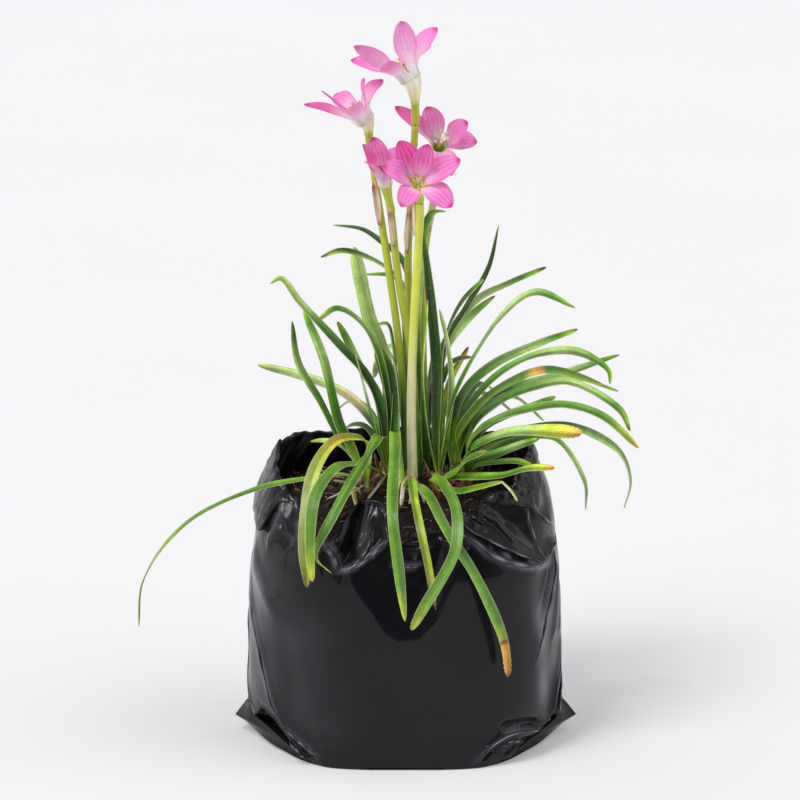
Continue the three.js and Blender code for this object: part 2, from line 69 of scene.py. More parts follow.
def smoothRoute(points, count):           # a centripetal curve through the points, evenly spaced
    p = np.array(points, float)
    p = np.vstack([2 * p[0] - p[1], p, 2 * p[-1] - p[-2]])
    dense = []
    for a, b, c, d in zip(p, p[1:], p[2:], p[3:]):
        t1 = np.linalg.norm(b - a) ** 0.5
        t2 = t1 + np.linalg.norm(c - b) ** 0.5
        t3 = t2 + np.linalg.norm(d - c) ** 0.5
        t = np.linspace(t1, t2, 24, endpoint=False)[:, None]
        ab = (t1 - t) / t1 * a + t / t1 * b
        bc = (t2 - t) / (t2 - t1) * b + (t - t1) / (t2 - t1) * c
        cd = (t3 - t) / (t3 - t2) * c + (t - t2) / (t3 - t2) * d
        abc = (t2 - t) / t2 * ab + t / t2 * bc
        bcd = (t3 - t) / (t3 - t1) * bc + (t - t1) / (t3 - t1) * cd
        dense.append((t2 - t) / (t2 - t1) * abc + (t - t1) / (t2 - t1) * bcd)
    dense = np.vstack(dense + [p[-2:-1]])
    length = np.concatenate([[0], np.cumsum(np.linalg.norm(np.diff(dense, axis=0), axis=1))])
    share = np.asarray(count) if np.ndim(count) else np.linspace(0, 1, count)
    return np.stack([np.interp(share * length[-1], length, dense[:, i]) for i in range(3)], axis=1), length[-1]


def blendStops(stops, t):                 # colours along a piece, from (place, colour) pairs
    places = [s[0] for s in stops]
    colours = np.array([linear(palette[s[1]]) for s in stops])
    return np.stack([np.interp(t, places, colours[:, i]) for i in range(3)], axis=-1)


def table(pairs, x, column=1):            # the value at x, read off a list of rows
    return np.interp(x, [p[0] for p in pairs], [p[column] for p in pairs])


class Shape:
    # collects rings of points into one mesh, with a UV map and a tint for every point
    def __init__(self):
        self.points, self.faces, self.uv, self.tint, self.total = [], [], [], [], 0

    def addRings(self, rings, uv, tint, caps=True):
        n, m = rings.shape[:2]
        at = self.total + np.arange(n * m).reshape(n, m)
        here, side = at[:-1], np.roll(at, -1, axis=1)[:-1]
        over, ahead = np.roll(at, -1, axis=1)[1:], at[1:]
        self.faces += np.stack([here, side, over, ahead], axis=-1).reshape(-1, 4).tolist()
        if caps:
            self.faces += [at[0][::-1].tolist(), at[-1].tolist()]
        self.points.append(rings.reshape(-1, 3))
        self.uv.append(np.broadcast_to(uv, (n, m, 2)).reshape(-1, 2))
        self.tint.append(np.broadcast_to(tint, (n, m, 3)).reshape(-1, 3))
        self.total += n * m


def addObject(name, data):
    made = bpy.data.objects.new(name, data)
    bpy.context.scene.collection.objects.link(made)
    return made


def newPiece(name, shape, material, slot, *replaced):
    mesh = bpy.data.meshes.new(name)
    mesh.from_pydata((np.vstack(shape.points) * mm).tolist(), [], shape.faces)
    corner = np.array([loop.vertex_index for loop in mesh.loops])
    layer = mesh.uv_layers.new(name="surface")
    layer.data.foreach_set("uv", np.vstack(shape.uv)[corner].ravel())
    tint = mesh.color_attributes.new("tint", "FLOAT_COLOR", "POINT")
    tint.data.foreach_set("color", np.hstack([np.vstack(shape.tint), np.ones((shape.total, 1))]).ravel())
    mesh.validate()
    mesh.materials.append(material)
    mesh.polygons.foreach_set("use_smooth", [True] * len(mesh.polygons))
    piece = addObject(name, mesh)
    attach(piece, "root")
    if replaced:
        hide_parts(*replaced)


# Materials

palette = {
    "deep": "255004", "mid": "47850a", "fresh": "8cb822", "blueGreen": "5f921f", "grey": "a4c46e",
    "pale": "bad26a", "lime": "aebd2c", "yellow": "cfb53a", "tan": "bd9a55", "orange": "d98a2e", "brown": "6b3f1e",
    "amber": "e0a02c", "olive": "8d9320", "straw": "cdb977",
    "cream": "d6dc9c", "white": "efe9d8",
    "scapeTop": "d6dc54", "scapeLow": "ece4b2", "scapeFoot": "7f8a55", "scapeSide": "b6bf3a",
    "pink": "ff86d4", "pinkPale": "ffbee8", "magenta": "d82a92", "wine": "a80f5c", "blush": "fff4f7",
    "tubeGreen": "bfc93a", "tubePale": "f3f5ae", "throat": "a6c22a", "anther": "e6bd36", "filament": "eee6a0",
    "spathe": "e8c6ae", "spatheDark": "a56f58", "tunic": "6a3a2c", "tunicPale": "c99c84",
    "tunicRed": "9c4a3a", "fibrePale": "d9bd9c", "stoneGrey": "a9a49c",
    # filmHighlight is the grey of the painted highlights on the film
    "film": "151318", "filmHighlight": "aaa8b2", "soil": "2a1f19", "black": "0d0a09",
}


def feed(tree, target, inputs):           # links sockets and sets plain values
    for key, value in inputs.items():
        if isinstance(value, bpy.types.NodeSocket):
            tree.links.new(value, target.inputs[key])
        else:
            target.inputs[key].default_value = value


def node(tree, kind, inputs=None, **settings):
    made = tree.nodes.new(kind)
    for key, value in settings.items():
        setattr(made, key, value)
    feed(tree, made, inputs or {})
    return made


def maths(tree, operation, *values):
    return node(tree, "ShaderNodeMath", dict(enumerate(values)), operation=operation).outputs[0]


def scaled(tree, vector, factor):
    return node(tree, "ShaderNodeVectorMath", {0: vector, "Scale": factor}, operation="SCALE").outputs[0]


def remap(tree, value, low, high, toLow=0.0, toHigh=1.0):
    return node(tree, "ShaderNodeMapRange", {"Value": value, "From Min": low, "From Max": high,
                                             "To Min": toLow, "To Max": toHigh}).outputs[0]


def noise(tree, place, scale, detail, roughness=0.5, **settings):
    return node(tree, "ShaderNodeTexNoise", {"Vector": place, "Scale": scale, "Detail": detail,
                                             "Roughness": roughness}, **settings).outputs[0]


def bump(tree, height, strength, distance, **under):
    return node(tree, "ShaderNodeBump", {"Height": height, "Strength": strength, "Distance": distance,
                                         **under}).outputs[0]


def startMaterial(name):
    material = bpy.data.materials.new(name)
    material.use_nodes = True
    tree = material.node_tree
    place = node(tree, "ShaderNodeTexCoord").outputs["Object"]
    return material, tree, tree.nodes["Principled BSDF"], place


def tintOf(tree):                         # the colour that every point of a piece carries
    return node(tree, "ShaderNodeAttribute", attribute_name="tint").outputs["Color"]


def plantMaterial(name, veins, veinDepth, streaks, blotch, rough, relief, glow=0.0, glowSize=0.002, specks=0.0,
                  coat=0.0):
    # tinted plant skin with lengthwise veins that follow the piece's own UV map
    material, tree, shader, place = startMaterial(name)
    uv = node(tree, "ShaderNodeUVMap", uv_map="surface").outputs["UV"]
    across = node(tree, "ShaderNodeSeparateXYZ", {0: uv}).outputs["X"]
    line = maths(tree, "COSINE", maths(tree, "MULTIPLY", across, veins * 2 * math.pi))
    along = node(tree, "ShaderNodeMapping", {"Vector": uv, "Scale": (streaks, 0.6, 1)}).outputs[0]
    fibre = noise(tree, along, 3.0, 4.0)
    light = maths(tree, "MULTIPLY_ADD", line, veinDepth, 1.0)
    for pattern in (fibre, noise(tree, place, 90.0, 8.0, 0.7)):
        light = maths(tree, "MULTIPLY", light, remap(tree, pattern, 0.3, 0.7, 1 - blotch, 1 + blotch))
    colour = scaled(tree, tintOf(tree), light)
    if specks:                            # small dry marks
        much = remap(tree, noise(tree, place, 330.0, 2.0), 0.64, 0.74, 0, specks)
        colour = node(tree, "ShaderNodeMix", {0: much, 6: colour, 7: (*linear(palette["tan"]), 1)},
                      data_type="RGBA").outputs[2]
    height = maths(tree, "MULTIPLY_ADD", line, 0.35, fibre)
    feed(tree, shader, {
        "Base Color": colour, "Roughness": remap(tree, fibre, 0.3, 0.7, rough - 0.06, rough + 0.08),
        "Normal": bump(tree, height, relief, 0.0003), "Coat Weight": coat, "Coat Roughness": 0.26})
    if glow:
        feed(tree, shader, {"Subsurface Weight": glow, "Subsurface Scale": glowSize,
                            "Subsurface Radius": (1.0, 0.8, 0.6)})
    return material


filmSkin = {
    "clouds": (0.65, 1.05), "rough": (0.26, 0.36),
    "dull": {"Specular IOR Level": 0.1, "Sheen Weight": 0.08, "Sheen Roughness": 0.35},
    "gloss": {"Coat Weight": 0.34, "Coat Roughness": 0.1},
    # the crumpled band round the mouth starts and is full at these heights, and this far to the side, in metres
    "creasedAbove": (0.104, 0.124), "creasedBeyond": (0.034, 0.05),
}


def filmMaterial(look):
    # black polythene film, greyer where the tint carries painted highlights: dull under a thin glossier skin
    material, tree, shader, place = startMaterial("blackFilm")
    drawn = node(tree, "ShaderNodeMapping", {"Vector": place, "Scale": (1, 1, 0.35)}).outputs[0]
    fine = noise(tree, drawn, 260.0, 4.0)
    shade = remap(tree, noise(tree, place, 14.0, 3.0), 0.3, 0.7, *look["clouds"])
    relief = bump(tree, fine, 0.12, 0.0004)
    spot = node(tree, "ShaderNodeSeparateXYZ", {0: place}).outputs
    where = maths(tree, "MULTIPLY", remap(tree, spot["Z"], *look["creasedAbove"]),
                  remap(tree, maths(tree, "ABSOLUTE", spot["X"]), *look["creasedBeyond"]))
    creases = noise(tree, place, 130.0, 3.0, noise_type="RIDGED_MULTIFRACTAL")
    folded = bump(tree, maths(tree, "MULTIPLY", creases, where), 0.7, 0.0012, Normal=relief)
    feed(tree, shader, {"Base Color": scaled(tree, tintOf(tree), shade), "Normal": folded,
                        "Roughness": remap(tree, fine, 0.3, 0.7, *look["rough"]), **look["dull"], **look["gloss"]})
    return material


def grainMaterial(name, dark, pale, scale, rough, relief):
    # earth, bark, perlite and root fibres: two tones mixed by their grain
    material, tree, shader, place = startMaterial(name)
    coarse = noise(tree, place, scale, 8.0, 0.7)
    ramp = node(tree, "ShaderNodeValToRGB", {"Fac": coarse})
    for element, position, tone in zip(ramp.color_ramp.elements, (0.38, 0.68), (dark, pale)):
        element.position = position
        element.color = (*linear(palette[tone]), 1)
    feed(tree, shader, {"Base Color": ramp.outputs[0], "Roughness": rough,
                        "Normal": bump(tree, coarse, relief, 0.0006)})
    return material


# veins, their depth, streaks, blotchiness, roughness, relief and glow of each plant skin
leafSkin = plantMaterial("leafSkin", 6, 0.13, 22, 0.34, 0.33, 0.50, 0.10, specks=0.3, coat=0.22)
petalSkin = plantMaterial("petalSkin", 8, 0.08, 24, 0.10, 0.50, 0.35, 0.35, 0.003)
scapeSkin = plantMaterial("scapeSkin", 14, 0.04, 18, 0.08, 0.42, 0.25, 0.15)
spatheSkin = plantMaterial("spatheSkin", 5, 0.10, 18, 0.14, 0.60, 0.50, 0.20)
stamenSkin = plantMaterial("stamenSkin", 2, 0.03, 30, 0.14, 0.70, 0.60, 0.15, 0.001)
tunicSkin = plantMaterial("tunicSkin", 16, 0.20, 40, 0.30, 0.62, 0.80)
blackFilm = filmMaterial(filmSkin)
earth = grainMaterial("earth", "black", "soil", 420.0, 0.92, 0.9)
print("materials ready")


# Leaves: every blade keeps the route and width of its solid, with a channelled, veined, finely cut blade

leafLook = {
    "columns": 13, "steps": 64, "thick": 0.62, "edgeThick": 0.30, "footShare": 0.55, "fullAt": 0.3,
    "slim": 0.88,           # share of the solid's width
    "paintedSideShade": 0.52,         # the most that painted shade darkens one half of a blade against the other, as if lit from one side
    "tipPower": 7,          # how blunt a tip is: 3 is a long point, 14 nearly square
    "turn": 0.6,            # how far the upper side turns to the front
    "channel": 0.16,        # depth of the trough along the middle, as a share of the width
    "edge": 0.8, "edgeMix": 0.5,        # the pale rim starts here, from the middle outwards, and how pale it is
}
tones = {
    "deep": [(0, "pale"), (0.08, "fresh"), (0.25, "mid"), (0.6, "deep"), (0.9, "deep"), (0.975, "mid"), (1, "brown")],
    "mid": [(0, "pale"), (0.08, "fresh"), (0.25, "deep"), (0.5, "mid"), (0.75, "grey"), (0.9, "mid"), (0.97, "fresh"),
            (1, "brown")],
    "fresh": [(0, "pale"), (0.15, "fresh"), (0.5, "mid"), (0.85, "fresh"), (1, "lime")],
    "blue": [(0, "pale"), (0.12, "fresh"), (0.3, "blueGreen"), (0.6, "blueGreen"), (0.86, "blueGreen"), (0.97, "lime"),
             (1, "yellow")],
    "grey": [(0, "pale"), (0.2, "mid"), (0.6, "grey"), (0.9, "grey"), (1, "pale")],
    "pale": [(0, "cream"), (0.2, "pale"), (0.8, "pale"), (1, "fresh")],
    "yellow": [(0, "fresh"), (0.22, "lime"), (0.36, "yellow"), (0.47, "lime"), (0.62, "pale"), (0.85, "pale"),
               (0.94, "olive"), (1, "olive")],
    "strap": [(0, "mid"), (0.3, "mid"), (0.5, "grey"), (0.66, "grey"), (0.8, "lime"), (0.93, "yellow"),
              (0.98, "orange"), (1, "brown")],
    "burnt": [(0, "pale"), (0.2, "blueGreen"), (0.78, "blueGreen"), (0.84, "lime"), (0.855, "brown"), (0.865, "amber"),
              (0.94, "amber"), (0.96, "orange"), (0.98, "brown"), (1, "amber")],
    "highlit": [(0, "pale"), (0.1, "mid"), (0.5, "deep"), (0.72, "mid"), (0.82, "grey"), (0.93, "pale"), (1, "fresh")],
    "tip": [(0, "pale"), (0.15, "fresh"), (0.7, "mid"), (0.9, "lime"), (0.97, "orange"), (1, "brown")],
    "patch": [(0, "pale"), (0.15, "fresh"), (0.61, "mid"), (0.65, "yellow"), (0.69, "orange"), (0.72, "mid"),
              (0.95, "fresh"), (1, "tan")],
    "brownTip": [(0, "lime"), (0.2, "fresh"), (0.8, "lime"), (0.93, "tan"), (1, "brown")],
    "tan": [(0, "mid"), (0.3, "mid"), (0.42, "straw"), (0.5, "straw"), (0.56, "grey"), (0.8, "grey"), (1, "pale")],
}
# For each tuft: where its sheath stands, then width, tone and route of every leaf
tufts = {
    "leaves_1": {"at": (-20, -8), "blades": [
        (4.5, "mid", [(-24, 0, 144), (-33, 8, 153), (-43, 16, 170), (-54, 20, 189), (-57, 22, 210)]),
        (6, "mid", [(-26, -4, 149), (-33, 0, 162), (-36, 4, 173), (-41, 10, 193), (-51, 20, 216)]),
        (7, "yellow", [(-19, -12, 156), (-27, -18, 160), (-35, -26, 160), (-45, -48, 150), (-49, -66, 128),
                       (-48, -69, 98)], {"tip": 14, "torn": 0.3}),
        (4.5, "pale", [(-25, 4, 143), (-33, 14, 148), (-42, 20, 148), (-48, 22, 147)]),
        (4, "fresh", [(-30, -16, 140), (-48, -26, 141), (-75, -36, 138), (-108, -44, 123), (-129, -48, 96),
                      (-132, -49, 71)], {"roll": [(0, 0), (0.6, 20), (1, 60)]}),
    ]},
    "leaves_2": {"at": (-9, 3), "blades": [
        (5, "highlit", [(-11, 2, 164), (-18, -2, 186), (-32, -10, 205), (-52, -20, 230), (-61, -26, 243),
                       (-66, -29, 241)], {"up": (0.5, -1, 0.5), "tip": 5}),
        (6, "mid", [(-9, 4, 173), (-14, 4, 199), (-22, 2, 214), (-34, -2, 222), (-43, -6, 217)]),
        (6, "mid", [(-14, 12, 174), (-22, 14, 187), (-30, 16, 203), (-34, 16, 211)]),
        (5.5, "deep", [(-5, 2, 169), (-7, 0, 189), (-11, -4, 202)]),
        (6, "mid", [(-15, -4, 160), (-19, -8, 177), (-22, -12, 191), (-25, -14, 203)]),
        (4, "mid", [(-5, 3, 184), (-6, 3, 202), (-9, 3, 213), (-15, 3, 212)]),
        (6.4, "blue", [(-12, -8, 158), (-18, -24, 153), (-33, -60, 136), (-43, -75, 115), (-36, -78, 108)],
         {"roll": [(0, 0), (0.3, 0), (0.36, 40), (0.45, 5), (0.8, 0), (0.9, 60), (1, 90)], "tip": 4}),
        (6.5, "blue", [(-16, -14, 143), (-26, -32, 150), (-34, -46, 152), (-44, -68, 143), (-46, -78, 119),
                       (-45, -79, 104)]),
        (5, "deep", [(-6, 6, 163), (-11, 18, 183), (-15, 22, 194)]),
    ]},
    "leaves_3": {"at": (-1, -15), "blades": [
        (6.2, "blue", [(-5, -22, 164), (-5, -34, 157), (-6, -56, 144), (-6, -72, 133), (-3, -76, 109), (0, -77, 83)],
         {"roll": [(0, 0), (0.75, 0), (1, 35)], "tip": 9}),
        (4.6, "brownTip", [(3, -34, 143), (5, -54, 136), (8, -69, 125), (11, -71, 111), (15, -71, 87)],
         {"torn": 0.7}),
        (6, "burnt", [(7, -30, 138), (12, -46, 137), (18, -61, 129), (24, -71, 121), (34, -70, 104.5),
                        (48, -68.5, 71.5), (51, -67, 51.5)], {"tip": 40, "torn": 0.3}),
        (5, "deep", [(-3, -17, 158), (-3, -17, 179), (-5, -18, 197), (-9, -20, 208)]),
    ]},
    "leaves_4": {"at": (9, 27), "blades": [
        (4, "deep", [(4, 32, 208), (-1, 42, 236), (-13, 52, 245), (-22, 60, 249), (-37, 70, 249)]),
        (5, "mid", [(5, 32, 203), (-1, 30, 226), (-11, 24, 238), (-31, 14, 248), (-42, 8, 246)]),
        (3.5, "mid", [(4, 38, 196), (1, 46, 220), (-6, 52, 226), (-21, 62, 225)]),
        (5, "mid", [(14, 34, 166), (19, 38, 191), (36, 56, 212), (54, 68, 219), (73, 78, 225)]),
        (5, "deep", [(12, 36, 162), (15, 52, 180), (17, 70, 184), (19, 88, 170)]),
        (6, "mid", [(4, 38, 160), (-2, 54, 184), (-8, 70, 186), (-13, 86, 168)]),
        (5, "mid", [(16, 34, 152), (27, 48, 162), (42, 60, 162), (58, 70, 148)]),
    ]},
    "leaves_5": {"at": (17, 1), "blades": [
        (6.5, "deep", [(16, 2, 164), (16, 4, 189), (14, 8, 214), (9, 16, 258)], {"up": (-0.3, -1, 0.1), "tip": 3}),
        (6, "grey", [(21, -2, 160), (23, -6, 184), (21, -8, 205), (17, -8, 223)], {"up": (1, -0.6, 0), "tip": 4}),
        (6, "mid", [(11, -4, 160), (9, -4, 186), (10, -4, 209), (11, -4, 227)]),
        (4, "deep", [(18, 8, 172), (20, 12, 200), (31, 16, 219), (42, 20, 238), (47, 20, 260)], {"tip": 3}),
        (5, "deep", [(18, -2, 180), (20, -2, 206), (28, -6, 226), (39, -10, 239)], {"tip": 16}),
        (5, "mid", [(17, 16, 160), (19, 26, 191), (33, 38, 208), (46, 48, 217)]),
        (6.5, "mid", [(21, -8, 162), (26, -12, 183), (48, -24, 224), (64, -31, 237), (83, -38, 231)]),
        (4, "brownTip", [(20, 12, 171), (24, 16, 183), (32, 20, 197)]),
    ]},
    "leaves_6": {"at": (25, 16), "blades": [
        (6, "mid", [(23, 26, 152), (31, 34, 171), (45, 42, 182), (67, 52, 190), (89, 62, 196)]),
        (5.5, "mid", [(28, 32, 153), (41, 44, 163), (59, 56, 168), (78, 66, 170), (112, 84, 177)]),
        (6, "patch", [(26, 22, 148), (38, 24, 166), (54, 24, 178), (72, 24, 184), (101, 24, 176)]),
        (5.5, "mid", [(29, 28, 148), (43, 34, 161), (64, 40, 172), (83, 46, 175), (110, 54, 165)]),
        (5.5, "mid", [(31, 26, 152), (42, 40, 162), (56, 54, 162), (72, 66, 146)]),
        (5, "deep", [(28, 28, 156), (34, 46, 168), (42, 64, 166), (52, 82, 150)]),
    ]},
    "leaves_7": {"at": (32, -1), "blades": [
        (5.5, "mid", [(25, 6, 157), (33, 6, 171), (47, 4, 187), (67, -2, 199), (86, -6, 201), (101, -12, 193),
                      (102, -13, 186)], {"roll": [(0, 0), (0.6, 0), (0.85, 50), (1, 70)], "tip": 4}),
        (6, "mid", [(33, -4, 159), (47, -10, 176), (66, -16, 186), (82, -21, 189), (106, -29, 177),
                       (111, -31, 167)]),
        (6, "blue", [(33, -12, 157), (46, -20, 170), (62, -30, 178), (79, -38, 182), (97, -45, 178),
                     (114, -52, 164)]),
        (6, "mid", [(37, 4, 156), (50, 8, 164), (65, 12, 168), (76, 16, 172)]),
        (10, "strap", [(32, -16, 152), (41, -26, 161), (52, -34, 167), (65, -42, 170), (86, -52, 171)],
         {"tip": 30, "torn": 0.35}),
        (6.5, "mid", [(36, 6, 146), (68, 16, 156), (86, 20, 155), (109, 23, 141), (115, 24, 125), (112, 24, 111)]),
        (5, "mid", [(37, 0, 144), (50, 2, 151), (65, 6, 154), (77, 10, 151), (91, 14, 128), (92, 14, 113)]),
        (4.5, "fresh", [(35, -8, 142), (45, -14, 146), (56, -19, 148), (63, -23, 147)]),
        (7, "mid", [(35, -4, 143), (46, -6, 148), (57, -8, 153), (67, -10, 157)]),
    ]},
    "leaves_8": {"at": (17, -15), "blades": [
        (6, "tip", [(22, -22, 140), (35, -30, 143), (48, -38, 146), (61, -46, 152), (73, -53, 154)]),
        (5.5, "fresh", [(18, -24, 135), (27, -35, 137), (37, -45, 142), (48, -53, 147)]),
        (8, "blue", [(20, -20, 139), (26, -26, 145), (31, -30, 152), (40, -33, 157)]),
        (6, "blue", [(13, -22, 140), (18, -38, 143), (25, -64, 135), (24, -78, 119), (9, -80, 91), (3, -81, 80)],
         {"tip": 18, "roll": [(0, 40), (0.22, 75), (0.32, 20), (0.45, 0), (1, 0)]}),
    ]},
    "leaves_9": {"at": (4, 13), "blades": [
        (6, "mid", [(6, 16, 170), (6, 16, 211), (8, 21, 240), (13, 26, 264), (21, 29, 265)]),
        (4, "mid", [(3, 15, 160), (1, 15, 180), (0, 15, 205), (-1, 16, 218)]),
    ]},
    "leaves_10": {"at": (-9, 19), "blades": [
        (8.5, "grey", [(-8, 28, 175), (-13, 34, 195), (-18, 38, 207), (-22, 44, 223), (-26, 50, 242)],
         {"up": (0.2, -1, 0.1), "tip": 12}),
        (5.4, "tan", [(-11, 24, 147), (-20, 32, 160), (-32, 42, 168), (-52, 54, 173), (-76, 66, 176)],
         {"up": (0, -1, 0.35)}),
        (5, "mid", [(-13, 27, 150), (-20, 40, 160), (-29, 52, 160), (-40, 60, 148)]),
        (5, "mid", [(-8, 30, 162), (-10, 46, 178), (-13, 62, 180), (-16, 78, 166)]),
        (4, "deep", [(-14, 22, 146), (-20, 32, 152), (-28, 42, 150), (-34, 50, 142)]),
    ]},
}
soilTop = 131.3                           # where the sheaths stand on their bulbs


def sweepFrame(route, up):                # directions across a swept piece, square to its route
    tangent = unit(np.gradient(route, axis=0))
    up = unit(up - tangent * np.sum(up * tangent, axis=1, keepdims=True))
    return np.cross(up, tangent), up


def ringsAlong(route, up, across, over):  # rings from offsets across the route and over it
    side, top = sweepFrame(route, up)
    return route[:, None] + across[..., None] * side[:, None] + over[..., None] * top[:, None]


def wrapped(lower, upper):                # rings of a thin piece: its under side, then its upper side back again
    return np.concatenate([lower, upper[:, ::-1]], axis=1)


def turnsOf(sides):                       # angles round a ring
    return np.arange(sides) / sides * 2 * math.pi


def unrolled(u, v):                       # UV map of a swept piece: u round it and v along it
    return np.stack(np.broadcast_arrays(u[None], v[:, None]), axis=-1)


def towards(colour, tone, much):          # a colour moved towards one of the palette's
    return colour * (1 - much) + linear(palette[tone]) * much


def bladeTint(stops, t, u, length, seed, rng, look, edgeTone):
    colour = blendStops(stops, np.clip(t + rng.uniform(-0.02, 0.02), 0, 1))[:, None] * rng.uniform(0.88, 1.12)
    aside = np.abs(2 * u - 1)
    # pale and dark bands along the blade, painted shade that darkens one half as if the light came from one side, and
    # slow changes up the blade
    bands = ripple(np.stack([u * 2.2 + seed, 0 * u], axis=-1), 1.0, seed + 7)[None] * 0.16
    colour = colour * (1 + bands + 0.12 * smooth(0, 0.5, aside)[None] - 0.08)[..., None]
    sideShade = rng.uniform(0.1, look["paintedSideShade"]) * rng.choice([-1, 1]) * np.tanh(8 * (u - 0.5))
    along = 0.14 * ripple(np.stack([t * length / 30 + seed, 0 * t], axis=-1), 1.0, seed + 9)
    colour = colour * (1 + sideShade[None] + along[:, None])[..., None]
    edge = (smooth(look["edge"], 1, aside) * look["edgeMix"])[None, :, None]
    colour = towards(colour, edgeTone, edge * smooth(0.02, 0.2, t)[:, None, None])
    under = np.repeat([1.18, 1.0], len(u) // 2)
    return np.clip(colour * under[None, :, None], 0, 1)


def addBlade(shape, points, width, stops, seed, look, up=None, roll=(), edgeTone="cream", tip=None, torn=0.0):
    rng = np.random.default_rng(seed)
    t = 1 - (1 - np.linspace(0, 1, look["steps"])) ** 1.5
    route, length = smoothRoute(points, t)
    if up is None:
        x, y = unit((route[-1] - route[0])[:2])
        tangent = unit(np.gradient(route, axis=0))
        up = unit(np.cross(tangent, np.array([-y, x, 0.0]))) + np.array([0, -look["turn"], 0])
    foot, full = look["footShare"], look["fullAt"]
    rise = foot + (1 - foot) * smooth(0, full, t)
    fall = np.sqrt(np.maximum(1 - (np.maximum(t - full, 0) / (1 - full)) ** (tip or look["tipPower"]), 0.0004))
    half = width / 2 * look["slim"] * rise * np.where(t < full, 1, fall)
    half = half * (1 + 0.04 * np.sin(t * length / 6 + rng.uniform(0, 6)))
    half = half * (1 - torn * smooth(0.86, 1, t) * np.abs(np.sin(t * length * 1.3)))
    c = np.linspace(-1, 1, look["columns"])
    thick = look["edgeThick"] + (look["thick"] - look["edgeThick"]) * (1 - np.abs(c) ** 2.5)
    thick = thick[None] * np.minimum(1, 0.25 + half[:, None] / (0.3 * width))
    trough = look["channel"] * 2 * half[:, None] * np.abs(c)[None] ** 1.6
    trough = trough * (1.5 - 0.8 * smooth(0, 0.5, t))[:, None]
    wave = np.sin(t[:, None] * length / 9 + rng.uniform(0, 6) + 1.3 * np.sign(c)[None])
    flutter = 0.05 * width * np.abs(c)[None] ** 2 * wave * smooth(0.1, 0.5, t)[:, None]
    lift = trough - trough.mean(axis=1, keepdims=True) + flutter
    across = half[:, None] * c[None]
    ringAcross, ringOver = wrapped(across, across), wrapped(lift - thick / 2, lift + thick / 2)
    if len(roll):
        turn = np.radians(table(roll, t))[:, None]
        ringAcross, ringOver = (ringAcross * np.cos(turn) - ringOver * np.sin(turn),
                                ringAcross * np.sin(turn) + ringOver * np.cos(turn))
    u = np.concatenate([c, c[::-1]]) * 0.5 + 0.5
    shape.addRings(ringsAlong(route, np.array(up, float), ringAcross, ringOver), unrolled(u, t * length / 10),
                   bladeTint(stops, t, u, length, seed, rng, look, edgeTone))


stemLook = {"up": np.array([0.2, 1, 0.1])}      # any direction that no stem follows


def addStem(shape, points, radii, stops, steps=40, sides=14, ribs=0.0):
    route, length = smoothRoute(points, steps)
    t = np.linspace(0, 1, steps)
    a = turnsOf(sides)
    radius = np.interp(t, np.linspace(0, 1, len(radii)), radii)[:, None] * (1 + ribs * np.cos(5 * a)[None])
    rings = ringsAlong(route, stemLook["up"], radius * np.cos(a), radius * np.sin(a))
    shape.addRings(rings, unrolled(a / (2 * math.pi), t * length / 10), blendStops(stops, t)[:, None])


for tuft, (nodeName, data) in enumerate(tufts.items()):
    shape = Shape()
    x, y = data["at"]
    addStem(shape, [(x, y, soilTop), (x, y, soilTop + 5)], [2.7, 2.6, 2.2], [(0, "cream"), (1, "pale")], 8)
    for i, (width, tone, route, *more) in enumerate(data["blades"]):
        addBlade(shape, [(x, y, soilTop + 1.2)] + route, width, tones[tone], 10 * tuft + i, leafLook,
                 **(more[0] if more else {}))
    newPiece("leafTuft" + nodeName.split("_")[1], shape, leafSkin, "leaf", nodeName)

strands = [                               # width, tone and route of the thin pieces between the tufts
    (1.6, "straw", [(-22, -20, 131), (-23.5, -22, 134), (-29.5, -26, 138.8), (-35.5, -30, 141.4)]),
    (2.2, "yellowEnd", [(-26.6, -24, 137), (-25.4, -26, 132), (-24.2, -28, 127.5)]),
    (1.3, "straw", [(47.5, -53, 147), (51.7, -56, 143.5), (53.5, -57, 141), (55, -58, 138.5)]),
    (3.0, "dark", [(19, 0, 184), (22, -1, 193), (27, -2, 196.5), (33, -3, 197.5)]),
    (2.4, "root", [(2.5, -12, 139), (-0.5, -19, 136), (-1.5, -30, 133), (-2, -38, 130.5)]),
    (1.8, "root", [(4, -13, 138), (2.5, -20, 135), (3, -29, 132), (2, -35, 130.5)]),
    (2.0, "root", [(0, -13, 138), (-4, -20, 134.5), (-6, -28, 132), (-7.5, -33, 130.5)]),
    (1.4, "root", [(5.5, -14, 137), (7, -21, 134), (9, -27, 131.5), (9.5, -31, 130)]),
    (1.5, "root", [(-9, -2, 137), (-13, -12, 134), (-17, -22, 131.5), (-19, -27, 130)]),
    (1.3, "root", [(-12, 0, 137), (-19, -9, 134), (-25, -16, 132), (-28, -20, 130.5)]),
    (1.4, "root", [(18, -17, 137), (22, -24, 134), (24, -31, 131.5), (25, -35, 130)]),
    (1.2, "root", [(-20, -10, 137), (-28, -16, 134), (-34, -22, 131.5), (-39, -25, 130)]),
]
strandTones = {"straw": [(0, "cream"), (1, "straw")], "yellowEnd": [(0, "lime"), (1, "straw")],
               "dark": [(0, "mid"), (0.7, "deep"), (1, "brown")],
               "root": [(0, "tunicPale"), (0.3, "cream"), (0.7, "blush"), (1, "tunicPale")]}
strandLook = dict(leafLook, columns=7, steps=24, thick=0.5, footShare=0.8, fullAt=0.3, channel=0.2)
shape = Shape()
for i, (width, tone, route) in enumerate(strands):
    addBlade(shape, route, width, strandTones[tone], 400 + i, strandLook, (0, -1, 0.6))
newPiece("looseStrands", shape, leafSkin, "leaf")
print("leaves ready")
